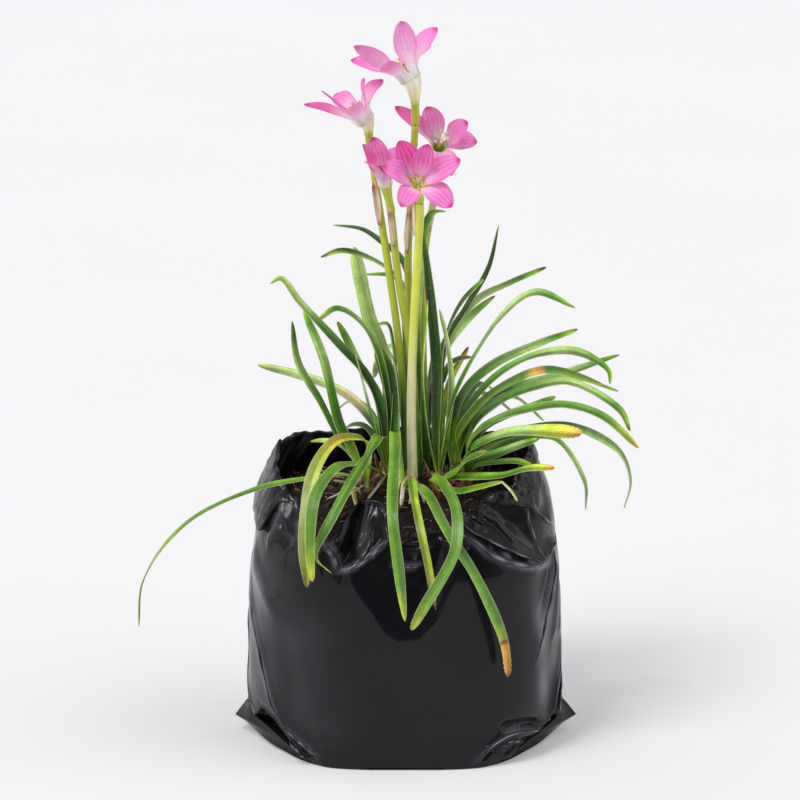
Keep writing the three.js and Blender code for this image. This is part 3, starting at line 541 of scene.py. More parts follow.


# Flowers: scape, tube, six petals, stamens and the papery spathe

# Each tip: place, width and, on some petals, how dark it turns: partly deeper pink, partly painted shade where a petal
# turns away from the light
flowers = {
    "front": {
        "scape": [(3.9, -10.8, 131.3), (3.2, -9.6, 180), (4.9, -6, 226), (6.4, -2, 251), (7.5, 2.8, 268),
                  (7.4, 3.2, 274)],
        "radii": [2.6, 2.4, 2.2, 2.1, 2.0], "throat": (6, -8, 286), "face": 0.35,
        "tips": [(-3, -8, 308, 9.5, 0.6), (11, -16, 308, 8, 0.3), (27, -14, 300, 9), (23, -18, 277, 9),
                 (-2, -22, 278, 8),
                 (-11, -16, 297, 8.5)],
        "funnel": 3.4, "stamens": (2.4, 4.0, "anther"), "pale": 0.1, "green": 0.5,
        "spathe": (4, [(5.2, 2.8, 258), (5.2, 6.2, 268), (5, 8.4, 277)]), "tone": "scapeFront"},
    "left": {
        "scape": [(0.9, 7.6, 131.3), (-1.9, 8.6, 190), (-8.2, 9, 240), (-11.6, 13, 262), (-17, 18, 298)],
        "radii": [1.9, 1.9, 1.9, 1.8], "throat": (-22, 14, 317), "face": 0.3,
        "tips": [(-20, 3, 337, 6.5), (-11, 23, 333, 6), (-35, 31, 324, 7), (-50, 9, 323, 4.5, 0.5),
                 (-41, -3, 332, 5, 0.95),
                 (-26, -11, 326, 6.5, 0.2)],
        "funnel": 5.2, "stamens": (6, 2.6, "anther"), "pale": 0.45, "green": 0.42,
        "spathe": (4.5, [(-12.4, 10, 262), (-13.6, 11.2, 272), (-15.6, 12.8, 284)]), "tone": "scapeSide"},
    "low": {
        "scape": [(6.8, 6.8, 131.3), (3.6, 9, 190), (-3.4, 8, 236), (-6.8, 8.8, 267)],
        "radii": [1.9, 1.9, 1.9, 1.9], "throat": (-10, 6, 286), "face": 0.35,
        "tips": [(-21, -2, 305, 7, 0.3), (-16, 12, 306, 8), (-3, 15, 300, 7), (-1, 3, 299, 7), (-12, -9, 296, 6.5, 0.7),
                 (-19, -12, 298, 6.5, 0.4)],
        "funnel": 3.2, "stamens": (5, 2.4, "anther"), "pale": 0.1, "green": 0.8,
        "spathe": (4, [(-5.4, 5.6, 252), (-6.4, 5.8, 261), (-7.8, 4.6, 272)]), "tone": "scapeSide"},
    "top": {
        "scape": [(6.4, 22.4, 131.3), (2.5, 22, 205), (1.6, 22, 243), (3.4, 19, 280), (5, 17, 311)],
        "radii": [2.0, 1.9, 1.9, 1.8], "throat": (1, 12, 338), "face": 0.55,
        "tips": [(-2, 6, 365, 9.5), (16, 16, 360, 8.5), (5, 38, 351, 8), (-27, 22, 343, 6.5, 0.2),
                 (-12, -10, 344, 5.5, 0.7),
                 (-25, 4, 353, 7)],
        "funnel": 5.4, "stamens": (6, 2.6, "anther"), "pale": 0.75, "green": 0.38,
        "spathe": (4.5, [(1.2, 19.2, 246), (1.6, 17.8, 258), (2.4, 16.2, 270)]), "tone": "scapeSide"},
    "right": {
        "scape": [(11.4, 22.6, 131.3), (9, 26, 205), (10, 32, 243), (16, 38, 277)],
        "radii": [2.0, 1.9, 1.9, 1.8], "throat": (17, 26, 299), "face": 0.4,
        "tips": [(-5, 30, 318, 5.5, 0.35), (11, 30, 318, 8.5), (31, 16, 313, 8), (36, 26, 301, 7.5), (23, 10, 287, 7.5),
                 (10, 13, 287, 7.5)],
        "funnel": 4.0, "stamens": (9, 3.4, "white"), "pale": 0.3, "green": 0.5,
        "spathe": (4, [(12, 31.2, 254), (14, 33, 264), (15.6, 35, 275)]), "tone": "scapeSide"},
}
scapeTones = {
    "scapeFront": [(0, "scapeFoot"), (0.03, "scapeLow"), (0.35, "scapeLow"), (0.6, "scapeTop"), (1, "scapeTop")],
    "scapeSide": [(0, "deep"), (0.22, "mid"), (0.42, "scapeSide"), (1, "scapeSide")],
}
petalLook = {
    "columns": 19, "steps": 36, "thick": 0.5, "edgeThick": 0.22, "cup": 0.22, "arch": 3.4, "keel": 0.3, "widen": 1.4,
    "rootBack": 3.5, "rootOut": 0.93,       # it starts below the throat, in shares of the funnel's radius out
    "openUp": 0.8, "openOut": 1.05,         # and leaves the funnel here
    "stripes": 0.48, "rim": 0.8, "line": 0.4, "paleBack": 0.25,
}
tubeLook = {
    "steps": 36, "sides": 18, "ovary": 3.5, "neck": 5, "ridges": 0.05, "slender": 1.9,
    "radii": [(0, 1.7), (0.12, 2.1), (0.33, 1.9)],
    "opening": [(0.33, 0), (0.5, 0.15), (0.7, 0.55), (0.85, 0.85), (1, 1)],
    # down inside the throat: share of its radius and tone, at these steps of an open or a narrow tube
    "inside": [(0.85, "tubePale"), (0.6, "throat"), (0.35, "throat"), (0.05, "throat")],
    "open": [34, 31, 28, 26], "narrow": [35, 34, 34, 33],
}
flowerLook = {"gap": 0.3, "anther": 1.5, "style": 1.6}


def flowerAxis(flower):
    tips = np.array([tip[:3] for tip in flower["tips"]], float)
    return unit(tips.mean(axis=0) - np.array(flower["throat"], float))


def petalTint(t, u, pale, depth):         # depth: how dark the petal turns towards its tip, partly its own deeper pink and partly painted shade on petals that turn away from the light
    look = petalLook
    aside = np.abs(2 * u - 1)
    tint = blendStops([(0, "tubePale"), (0.06, "blush"), (0.10 + 0.15 * pale, "blush"),
                       (0.26 + 0.3 * pale, "pinkPale"), (0.6 + 0.25 * pale, "pink"), (0.88, "pink"),
                       (0.95, "magenta"), (1, "wine")], t)[:, None]
    rim = smooth(0.3, 1, aside)[None] * smooth(0.08, 0.4, t)[:, None] * look["rim"]
    line = smooth(0.82, 1, aside)[None] * smooth(0.3, 0.6, t)[:, None] * look["line"] * (1 - 0.6 * pale)
    stripe = (np.cos((u - 0.5) * 10 * math.pi)[None] * 0.5 + 0.5) * smooth(0.28, 0.6, t)[:, None]
    # stripes, and the petal's darkening: partly deeper pink, partly painted shade
    deeper = np.clip(look["stripes"] * stripe * (1 - 0.5 * pale) + depth * smooth(0.2, 0.75, t)[:, None], 0, 1)
    back = np.repeat([look["paleBack"], 0.0], len(u) // 2)[None] * smooth(0, 0.4, t)[:, None]
    for tone, much in (("pink", rim), ("magenta", line), ("magenta", deeper), ("pinkPale", back)):
        tint = towards(tint, tone, much[..., None])
    return tint


def addPetal(shape, flower, axis, tip, seed):
    rng = np.random.default_rng(seed)
    look = petalLook
    throat, face, funnel = np.array(flower["throat"], float), flower["face"], flower["funnel"]
    x, y, z, width, *more = tip
    end = np.array([x, y, z], float)
    outward = end - throat
    outward = unit(outward - axis * np.dot(outward, axis))
    root = throat - look["rootBack"] * axis + look["rootOut"] * funnel * outward
    mouth = throat + look["openOut"] * funnel * outward + look["openUp"] * axis
    middle = (throat + funnel * outward + end) / 2 + look["arch"] * axis
    t = np.sin(np.linspace(0, 1, look["steps"]) * math.pi / 2)
    route, length = smoothRoute([root, mouth, middle, end], t)
    inside = axis - 0.6 * outward
    front = np.array([0, -1.0, 0.25])
    front = front * math.copysign(1, np.dot(front, inside))
    turned = (face * smooth(0.15, 0.6, t))[:, None]
    up = inside * (1 - turned) + front * turned
    foot = min(0.8, 1.1 * funnel / (width * look["widen"]))
    body = foot + (1 - foot) * smooth(0.05, 0.6, t)
    fall = np.maximum(1 - (np.maximum(t - 0.5, 0) / 0.5) ** 2.2, 0.0) ** 0.62 + 0.01
    half = width / 2 * look["widen"] * body * fall
    c = np.linspace(-1, 1, look["columns"])
    thick = look["edgeThick"] + (look["thick"] - look["edgeThick"]) * (1 - np.abs(c) ** 2)
    thick = thick[None] * np.minimum(1, 0.3 + half[:, None] / (0.35 * width))
    cup = look["cup"] * (1.3 - 0.9 * smooth(0.2, 1, t))[:, None] * half[:, None] * np.abs(c)[None] ** 2
    keel = -look["keel"] * np.exp(-(c[None] / 0.12) ** 2) * (1 - t)[:, None]
    wave = 0.045 * width * np.sin(t[:, None] * 7 + rng.uniform(0, 6) + 2 * c[None]) * np.abs(c)[None] ** 2
    veins = 0.05 * np.cos(c * 5 * math.pi)[None] * np.minimum(1, half[:, None] / 2)
    lift = cup - cup.mean(axis=1, keepdims=True) + keel + wave * smooth(0.2, 0.7, t)[:, None] + veins
    across = half[:, None] * c[None]
    u = np.concatenate([c, c[::-1]]) * 0.5 + 0.5
    shape.addRings(ringsAlong(route, up, wrapped(across, across), wrapped(lift - thick / 2, lift + thick / 2)),
                   unrolled(u, t * length / 10), petalTint(t, u, flower["pale"], more[0] if more else 0.0))


def addTube(shape, flower, axis):
    # ovary, neck and a funnel that opens at the throat and turns down inside it
    look, gap, green = tubeLook, flowerLook["gap"], flower["green"]
    throat = np.array(flower["throat"], float)
    stalk, _ = smoothRoute(flower["scape"], 60)
    heading = unit(stalk[-1] - stalk[-2])
    route, length = smoothRoute([stalk[-1] + heading * gap, stalk[-1] + heading * (gap + look["ovary"]),
                                 throat - look["neck"] * axis, throat], look["steps"])
    t = np.linspace(0, 1, look["steps"])
    radius = table(look["radii"], t) + (flower["funnel"] - look["slender"]) * table(look["opening"], t)
    side, top = sweepFrame(route, stemLook["up"])
    rows = [*range(look["steps"]), *look["open" if flower["pale"] > 0.2 else "narrow"]]
    radius = np.concatenate([radius, radius[-1] * np.array([share for share, _ in look["inside"]])])
    t = np.concatenate([t, np.ones(len(look["inside"]))])
    a = turnsOf(look["sides"])
    ridged = radius[:, None] * (1 + look["ridges"] * np.cos(6 * a)[None])
    rings = route[rows, None] + (ridged * np.cos(a))[..., None] * side[rows, None] \
        + (ridged * np.sin(a))[..., None] * top[rows, None]
    tint = blendStops([(0, "scapeSide"), (0.2, "tubeGreen"), (green, "tubeGreen"), (green + 0.15, "tubePale"),
                       (1.0, "blush")], t)
    tint[look["steps"]:] = [linear(palette[tone]) for _, tone in look["inside"]]
    shape.addRings(rings, unrolled(a / (2 * math.pi), t * length / 10), tint[:, None])


def addStamens(shape, flower, axis, seed):
    rng = np.random.default_rng(seed)
    throat = np.array(flower["throat"], float)
    across = unit(np.cross([0, 0, 1.0], axis))
    over = np.cross(axis, across)
    pale = [(0, "throat"), (0.3, "filament"), (1, "filament")]
    reach, spread, tone = flower["stamens"]
    long = flowerLook["anther"]
    for i in range(6):
        a = (i + 0.5 + rng.uniform(-0.15, 0.15)) / 6 * 2 * math.pi
        aside = across * math.cos(a) + over * math.sin(a)
        high = reach * rng.uniform(0.72, 1)
        end = throat + axis * high + aside * spread * rng.uniform(0.8, 1.15)
        addStem(shape, [throat - axis * 2 + aside * 0.7, throat + axis * high * 0.5 + aside * spread * 0.4, end],
                [0.32, 0.28, 0.22], pale, 12, 6)
        lean = unit(aside * rng.uniform(0.2, 0.9) + axis * rng.uniform(0.3, 0.8) + over * rng.uniform(-0.4, 0.4))
        addStem(shape, [end - lean * long, end, end + lean * long], [0.25, 0.6, 0.66, 0.6, 0.2],
                [(0, tone), (1, tone)], 14, 8, ribs=0.1)
    tip = throat + axis * (reach + flowerLook["style"]) + across * rng.uniform(-1, 1)
    addStem(shape, [throat - axis * 2, throat + axis * reach * 0.6, tip], [0.34, 0.3, 0.3], pale, 16, 6)
    for i in range(3):                    # the stigma's three lobes
        a = i / 3 * 2 * math.pi + 0.4
        lobe = across * math.cos(a) + over * math.sin(a)
        addStem(shape, [tip - axis * 0.3, tip + axis * 0.8 + lobe * 0.7, tip + axis * 1.3 + lobe * 1.8],
                [0.32, 0.34, 0.3, 0.1], [(0, "filament"), (1, "white")], 8, 6)


spatheLook = dict(leafLook, columns=13, steps=30, thick=0.35, edgeThick=0.2, slim=0.78, footShare=0.6, fullAt=0.35,
                  channel=-0.3)           # a papery sheath wrapped half round the scape's top
spatheTone = [(0, "spatheDark"), (0.15, "spathe"), (0.6, "spathe"), (0.85, "spatheDark"), (1, "spathe")]

for i, (name, flower) in enumerate(flowers.items()):
    axis = flowerAxis(flower)
    stalk, bloom, threads, sheath = Shape(), Shape(), Shape(), Shape()
    addStem(stalk, flower["scape"], flower["radii"], scapeTones[flower["tone"]], 70, 18)
    addTube(bloom, flower, axis)
    for j, tip in enumerate(flower["tips"]):
        addPetal(bloom, flower, axis, tip, 100 + 10 * i + j)
    addStamens(threads, flower, axis, 200 + i)
    width, points = flower["spathe"]
    addBlade(sheath, points, width, spatheTone, 300 + i, spatheLook, (0.3, -1, 0), edgeTone="spatheDark", tip=4,
             torn=0.5)
    for part, shape, skin, slot in (("scape", stalk, scapeSkin, "scape"), ("bloom", bloom, petalSkin, "petal"),
                                    ("stamens", threads, stamenSkin, "stamen"),
                                    ("spathe", sheath, spatheSkin, "spathe")):
        newPiece(part + name.title(), shape, skin, slot, part + "_" + name)
print("flowers ready")


# Bulbs: brown papery tunics round a pale neck

bulbs = {
    "bulb_1": (-20, -8, 7), "bulb_2": (-9, 3, 6.8), "bulb_3": (1.6, -13, 7.2), "bulb_4": (9, 24, 7),
    "bulb_5": (17, 1, 6.8), "bulb_6": (25, 16, 7), "bulb_7": (32, -1, 7), "bulb_8": (17, -15, 7),
    "bulb_9": (4, 9, 6.6), "bulb_10": (-9, 19, 6.8),
}
bulbLook = {"top": 131, "depth": 31, "neck": 5.4, "sides": 40, "steps": 30}

for i, (nodeName, (x, y, radius)) in enumerate(bulbs.items()):
    look, neck, top = bulbLook, bulbLook["neck"], bulbLook["top"]
    low = top - look["depth"]
    profile = [(0.4, low), (radius * 0.5, low), (radius, low + 9), (radius * 0.93, low + 18),
               (neck + 0.4, top - 5), (neck, top - 0.3), (neck - 1, top), (0.4, top)]
    t = np.linspace(0, 1, look["steps"])
    r, z = (np.interp(t, np.linspace(0, 1, len(profile)), values) for values in zip(*profile))
    a = turnsOf(look["sides"])
    ridges = 1 - 0.03 * np.abs(np.sin(a * 9 + i))[None] * np.minimum(1, r[:, None] / 3)
    ring = np.stack(np.broadcast_arrays(x + r[:, None] * ridges * np.cos(a), y + r[:, None] * ridges * np.sin(a),
                                        z[:, None]), axis=-1)
    shape = Shape()
    shape.addRings(ring, unrolled(a / (2 * math.pi), t * 3),
                   blendStops([(0, "tunic"), (0.8, "tunic"), (1, "tunicPale")], t)[:, None])
    newPiece("tunic" + nodeName.split("_")[1], shape, tunicSkin, "bulb", nodeName)
print("bulbs ready")


# The grow bag: thin glossy film round the packed earth, gathered at the mouth and folded at the bottom corners.
# A place on the film is (arc from the front's middle, height): the left side is at -119 and the right at 119.

bag = {
    "frontSides": 400, "backSides": 100, "fineReach": 126, "rowStep": 1.05, "wall": 0.8,
    "halfWidth": 80, "halfDepth": 67,       # of the level curve that arcs are measured on
    "crumpled": [(80, 14, 0.6), (-105, 22, 0.2), (44, 7, 0.35)],      # arc, half width and how much, at the mouth
    "earReach": 87, "earLift": 7.5, "liftFrom": 40, "earCorner": 41, "earThick": 1.6, "baseDepth": 60,
    "baseRound": 13, "finTop": 79.5,
    "flatReach": 68, "flatDepth": 57, "flatSquare": 2.2, "square": 2.35,
    "rimFront": 133, "rimBack": 146, "rimCorner": 152, "shoulder": 116,
    # height, half width, half depth in front and behind; the last three climb by shares of the rim's height
    "rows": [(17, 79.6, 62.5, 62.5), (32, 80.4, 65.5, 65.5), (56, 80, 67, 67), (76, 78.4, 66.5, 66.5),
             (92, 77.2, 65, 65.5), (106, 75.8, 63, 64), (116, 74.8, 60, 62.5)],
    "upper": [(0.35, 72.6, 54.5, 60.5), (0.7, 69.5, 47, 57.5), (1, 66.5, 42.5, 54.5)],
    # where the film ends, and how far down its folded-over edge hangs outside
    "rim": [(-240, 146), (-190, 145), (-160, 149), (-140, 147), (-125, 152), (-108, 147), (-96, 141), (-86, 135),
            (-75, 129), (-67, 126), (-57, 119), (-49, 116), (-42, 116), (-38.5, 130), (-33, 133), (-22, 133),
            (-15, 129), (-10, 119), (0, 116), (8, 117), (21, 122), (37, 125), (45, 128), (50, 125), (56, 132),
            (63, 134), (74, 136), (81, 142), (95, 147), (109, 151), (119, 152), (140, 148), (170, 147),
            (200, 144), (240, 146)],
    "hang": [(-240, 3), (-150, 5), (-135, 20), (-121, 32), (-108, 28), (-100, 26), (-94, 25), (-90, 23.5),
             (-87.5, 21), (-86, 12), (-84.5, 4), (-80, 2), (-40, 1.5), (40, 1.5), (50, 2), (63, 2.5), (70, 4),
             (77, 7), (83, 11), (89, 12), (96, 9), (104, 6), (119, 6), (135, 4), (240, 3)],
    # by degrees from a corner's tip: top of the folded flap, the wall's lower edge over it, how deep the hollow
    # between them goes, and how open it is
    "leftCorner": [(0, 19, 21, 0, 0.6), (5, 17.5, 20, 1, 0.8), (9, 12, 18, 3, 1), (14, 10.5, 17, 7, 1),
                   (17, 9.5, 17.6, 9, 1), (20, 8.4, 21, 12, 1), (23, 7.4, 24.5, 13, 1), (26, 6.6, 24.3, 13, 1),
                   (33, 4.6, 21.5, 13, 1), (37, 3.8, 17, 11, 1), (40, 3.2, 13, 9, 1), (44, 2.8, 7.2, 5, 1),
                   (47, 2.6, 6, 1, 0.4), (51, 2.5, 10, 0, 0), (56, 2.5, 17, 0, 0), (90, 2.5, 17, 0, 0)],
    "rightCorner": [(0, 19, 21, 0, 0.6), (5, 17.5, 20, 2, 0.8), (10, 10, 19, 5, 1), (17.5, 7.4, 18, 8, 1),
                    (25, 5.2, 17, 10, 1), (28, 4.4, 16, 10, 1), (35.8, 2.8, 14, 10, 1), (40.5, 2.4, 10, 8, 1),
                    (44, 2.2, 5.6, 4, 1), (47, 2.2, 5, 1, 0.3), (52, 2.1, 10, 0, 0), (58, 2.1, 17, 0, 0),
                    (90, 2.1, 17, 0, 0)],
}
# Folds: route of (arc, height), how far the film stands out there (below zero, in), and how far the fold
# reaches to the left and the right of its route
creases = [
    # left: the thin bright fold, the broad soft one beside it and the pinched double fold at its foot
    ([(-104, 90), (-98, 76), (-92, 68), (-84, 57), (-79, 44), (-74, 30), (-69, 21), (-64, 15)], 1.2, 2.0, 4.0),
    ([(-110, 112), (-93, 93), (-79, 84), (-64, 77), (-54, 66), (-50, 52), (-46, 36), (-45, 22),
      (-46, 6)], 1.6, 5.0, 11),
    ([(-128, 64), (-114, 44), (-104, 28), (-96, 19)], 1.6, 2.0, 4.5),
    ([(-103, 108), (-87, 92), (-77, 82), (-70, 74)], 1.1, 2.0, 5.0),
    ([(-119, 100), (-112, 84), (-106, 70)], 1.4, 2.4, 5.0),
    ([(-66, 18), (-58, 14), (-51, 9), (-46, 4)], 1.2, 1.5, 1.5),
    ([(-62, 14), (-55, 9.5), (-49, 4)], -1.6, 1.3, 1.3),
    ([(-63, 11), (-57, 7), (-53, 3)], 1.0, 1.4, 1.4),
    # right: the lip over the corner, the slit above it and the upright fold with its own slit
    ([(34, 2), (38, 4), (43, 9), (47, 13), (53, 16.5), (58, 16.5), (70, 14.5), (79, 13.5), (87, 15)], 1.6, 1.2, 2.6),
    ([(50, 20), (58, 20.5), (67, 20), (79, 17)], -4.0, 1.9, 1.6),
    ([(40, 3), (46, 8), (52, 12)], -1.6, 1.0, 1.0),
    ([(50, 10), (58, 12), (66, 10)], 1.4, 1.0, 1.0),
    ([(52, 5), (57, 8), (66, 12), (72, 12)], -1.4, 1.0, 1.0),
    ([(87, 14), (88, 21), (89, 26), (93, 36), (98, 46), (103, 60)], 1.6, 2.0, 1.4),
    ([(91, 11), (92, 19), (94.5, 26), (97, 34)], -5.0, 1.5, 1.7),
    ([(97, 12), (98, 24), (103, 40), (106, 52)], 1.8, 1.2, 3.0),
    ([(96, 104), (90, 90), (82, 76), (75, 64), (70, 50)], 1.7, 4.5, 1.5),
    ([(106, 98), (98, 82), (92, 68), (86, 58)], 1.5, 3.6, 1.5),
    ([(84, 98), (78, 84), (73, 74)], 0.9, 3.0, 1.6),
    ([(112, 84), (104, 70), (98, 58)], 1.3, 3.0, 1.6),
    # mouth, right: two ridges with a groove between, the dark panel over them and the folds to its right
    ([(35, 128), (39, 122), (46, 118), (53, 114), (65, 108), (78, 102)], 1.8, 1.3, 2.0),
    ([(36, 124), (41, 119.5), (52, 111.5), (64, 105.5), (77, 101.5)], -3.4, 1.4, 1.4),
    ([(35, 121), (40, 117.5), (44, 113), (52, 108), (64, 103), (76, 100.5)], 1.8, 1.5, 3.4),
    ([(59, 128), (61, 122), (66, 113), (74, 106)], 1.6, 1.2, 4.0),
    ([(50, 126), (57, 121), (62, 112)], -2.4, 2.0, 2.0),
    ([(82, 131), (78, 122), (75.5, 110), (80, 102)], 2.2, 1.4, 3.5),
    ([(110, 107), (94, 106), (80, 102), (72, 98)], 1.5, 1.6, 3.4),
    ([(82, 131), (84, 128), (88, 122), (99, 116), (108, 112)], 1.6, 1.4, 2.6),
    ([(90, 131), (94, 124), (104, 118)], -1.4, 2.0, 2.0),
    # mouth, middle: the slit, the wing to its left, the flap that stands behind it and the curved fold below
    ([(-33.5, 105), (-33, 110), (-32, 116), (-33, 121), (-36, 127), (-38, 133)], -13.0, 3.4, 4.2),
    ([(-45, 118), (-39, 112), (-35.5, 105)], 2.6, 1.2, 1.4),
    ([(-36, 103), (-33, 103.5), (-26, 106), (-20, 110), (-15, 114), (-9, 118.5)], 2.2, 2.4, 1.3),
    ([(-29, 108), (-24, 111), (-20, 116), (-21, 124)], 1.5, 1.2, 1.2),
    ([(-28, 106), (-23, 108.5), (-18, 114), (-13, 119)], -1.3, 1.0, 1.0),
    ([(-26, 112), (-23, 120), (-24, 128)], -1.5, 2.2, 2.2),
    ([(-42, 126), (-40, 118), (-38, 112)], -2.0, 1.6, 1.6),
    # mouth, left
    ([(-84, 130), (-76, 122), (-70, 118), (-62, 116), (-52, 117)], 1.6, 3.0, 1.6),
    ([(-85, 134), (-81, 126), (-80, 117), (-82, 108)], 1.6, 2.0, 2.0),
    ([(-80, 124), (-74, 116), (-64, 112)], -1.2, 2.4, 2.4),
    ([(-10, 70), (8, 39), (30, 2)], 0.45, 12.0, 12.0),
    ([(-8, 116), (-2, 113), (6, 112), (16, 116)], 1.2, 1.2, 1.2),
    ([(-6, 106), (0, 105), (8, 106)], 0.8, 1.2, 2.0),
    ([(20, 119), (28, 115), (36, 116)], 1.2, 1.4, 1.4),
    # back: folds that run down from the mouth and up from the bottom corners
    ([(150, 112), (158, 100), (170, 80), (176, 58)], 4.0, 5.0, 7.0),
    ([(196, 114), (190, 104), (178, 90)], 3.6, 4.5, 6.0),
    ([(134, 24), (146, 38), (162, 48)], 3.6, 5.0, 5.0),
    ([(-146, 112), (-152, 100), (-164, 78), (-172, 50)], 4.0, 6.0, 5.0),
    ([(-190, 114), (-184, 104), (-186, 84)], 3.6, 5.0, 5.0),
    ([(-132, 22), (-144, 34), (-158, 52)], 3.6, 5.0, 5.0),
]
# Broad swellings and hollows: place, half sizes along and up, and height
swellings = [
    ((60, 98), (24, 11), 2.6), ((-60, 104), (22, 12), 2.2), ((66, 120), (13, 9), -6.5), ((-28, 122), (9, 12), 1.5),
    ((-66, 117), (12, 8), -1.5), ((98, 124), (9, 7), -2.2), ((6, 112), (22, 10), -2.0), ((100, 100), (14, 8), 1.2),
    ((-114, 52), (10, 16), -1.6), ((112, 44), (9, 18), -1.4), ((-60, 40), (9, 26), -0.8), ((84, 34), (10, 20), -0.8),
]
# The film leans back above this line, so that it mirrors the dark in front of the bag
leanLine = [(-70, 128), (-36, 116), (-30, 103), (-24, 92), (-17, 84), (-10, 72), (-3, 68), (7, 69), (16, 78),
            (21, 90), (28, 104), (36, 118), (60, 130)]
leanSlope, leanReach = 0.19, 26

# Painted highlights on the film, paler grey along the folds and in broad bands down the sides: route, half width and
# how much
paintedFilmHighlights = [
    ([(-92, 98), (-89, 70), (-87, 45), (-88, 24)], 7, 0.16), ([(-78, 96), (-74, 60), (-72, 30)], 6, 0.05),
    ([(-58, 84), (-52, 60), (-47, 30), (-45, 8)], 16, 0.036), ([(-68, 100), (-62, 80), (-56, 60)], 10, 0.02),
    ([(-104, 90), (-98, 76), (-92, 68), (-84, 57), (-79, 44), (-74, 30), (-69, 21)], 1.4, 0.36),
    ([(-103, 108), (-87, 92), (-77, 82), (-70, 74)], 1.8, 0.14), ([(-119, 96), (-108, 78), (-101, 66)], 2.0, 0.16),
    ([(-128, 66), (-115, 46), (-105, 30), (-97, 21)], 2.0, 0.16), ([(-110, 112), (-93, 93), (-79, 84)], 2.4, 0.14),
    ([(74, 98), (76, 70), (79, 40), (82, 22)], 5, 0.28), ([(88, 96), (88, 60), (90, 36)], 6, 0.10),
    ([(96, 104), (90, 90), (82, 76), (75, 64), (70, 50)], 1.6, 0.34),
    ([(106, 98), (98, 82), (92, 68), (86, 58)], 1.6, 0.18),
    ([(84, 98), (78, 84), (73, 74)], 1.6, 0.12), ([(112, 84), (104, 70), (98, 58)], 1.6, 0.14),
    ([(93, 36), (98, 46), (103, 60)], 1.5, 0.18),
    ([(35, 119), (44, 112), (56, 105), (68, 101), (80, 99), (92, 99)], 1.5, 0.5),
    ([(-36, 103), (-30, 104.5), (-23, 108), (-17, 112), (-11, 117)], 1.2, 0.6),
    ([(-44, 117), (-39, 111), (-35.5, 104.5)], 1.4, 0.4), ([(-27, 128), (-25, 120), (-27, 112)], 2.4, 0.10),
    ([(60, 126), (66, 116), (75, 108)], 1.8, 0.12), ([(84, 128), (92, 121), (104, 114)], 1.8, 0.16),
    ([(-85, 134), (-81, 126), (-80, 117), (-82, 108)], 2.0, 0.14), ([(-70, 124), (-62, 118), (-53, 117)], 1.6, 0.16),
    ([(-100, 140), (-97, 128), (-92, 118)], 3.0, 0.10), ([(96, 146), (100, 134), (98, 122)], 3.5, 0.12),
    ([(36, 3), (43, 9), (50, 14), (58, 17), (70, 15.6), (79, 14.4)], 1.4, 0.16),
    ([(-67, 18.5), (-59, 14.5), (-52, 9.5), (-46, 4)], 1.4, 0.2), ([(-8, 106), (0, 105), (10, 106.5)], 1.1, 0.35),
]


def squircle(a, halfWidth, front, back, power):
    depth = np.where(np.sin(a) < 0, front, back)
    return (np.abs(np.cos(a) / halfWidth) ** power + np.abs(np.sin(a) / depth) ** power) ** (-1 / power)


def rimHeight(a):                         # the mouth before its edge is cut to shape
    back = smooth(-0.45, 0.25, np.sin(a))
    corner = smooth(0.86, 1, np.abs(np.cos(a)))
    side = bag["rimFront"] + (bag["rimBack"] - bag["rimFront"]) * back
    return side + (bag["rimCorner"] - side) * corner


def baseRadius(a):                        # straight front and back, chamfers to the pointed corners, rounded between
    cos, sin = np.abs(np.cos(a)), np.abs(np.sin(a))
    slope = unit(np.array([bag["baseDepth"], bag["earReach"] - bag["earCorner"]], float))
    straight = bag["baseDepth"] / np.maximum(sin, 1e-3)
    chamfer = slope[0] * bag["earReach"] / (slope[0] * cos + slope[1] * sin)
    return (straight ** -bag["baseRound"] + chamfer ** -bag["baseRound"]) ** (-1 / bag["baseRound"])


def earLift(a, r):
    return bag["earLift"] * smooth(bag["liftFrom"], bag["earReach"] + 1, np.abs(r * np.cos(a)))


def ringOf(a, r, z):
    return np.stack([r * np.cos(a), r * np.sin(a), np.broadcast_to(z, a.shape)], axis=-1)


def curveRows(rows, step):                # a smooth curve through the rows, for every side at once
    rows = np.array(rows)
    padded = np.concatenate([2 * rows[:1] - rows[1:2], rows, 2 * rows[-1:] - rows[-2:-1]])
    out = []
    for p0, p1, p2, p3 in zip(padded, padded[1:], padded[2:], padded[3:]):
        count = max(2, round(float(np.linalg.norm(p2 - p1, axis=-1).mean()) / step))
        for t in np.arange(count) / count:
            out.append(0.5 * (2 * p1 + (p2 - p0) * t + (2 * p0 - 5 * p1 + 4 * p2 - p3) * t ** 2
                              + (3 * p1 - p0 - 3 * p2 + p3) * t ** 3))
    return np.array(out + [rows[-1]])


def nearRoute(arc, height, route):        # distance to a route, the share of it there, and which side of it
    route = np.array(route, float)
    nearest, share, left = np.full(arc.shape, 1e9), np.zeros(arc.shape), np.zeros(arc.shape, bool)
    spans = np.linalg.norm(np.diff(route, axis=0), axis=1)
    reached = np.concatenate([[0], np.cumsum(spans)]) / spans.sum()
    for k, (p, q) in enumerate(zip(route, route[1:])):
        d = q - p
        x, y = arc - p[0], height - p[1]
        t = np.clip((x * d[0] + y * d[1]) / (d @ d), 0, 1)
        gap = np.hypot(x - t * d[0], y - t * d[1])
        closer = gap < nearest
        nearest = np.where(closer, gap, nearest)
        share = np.where(closer, reached[k] + t * (reached[k + 1] - reached[k]), share)
        left = np.where(closer, d[0] * y - d[1] * x > 0, left)
    return nearest, share, left


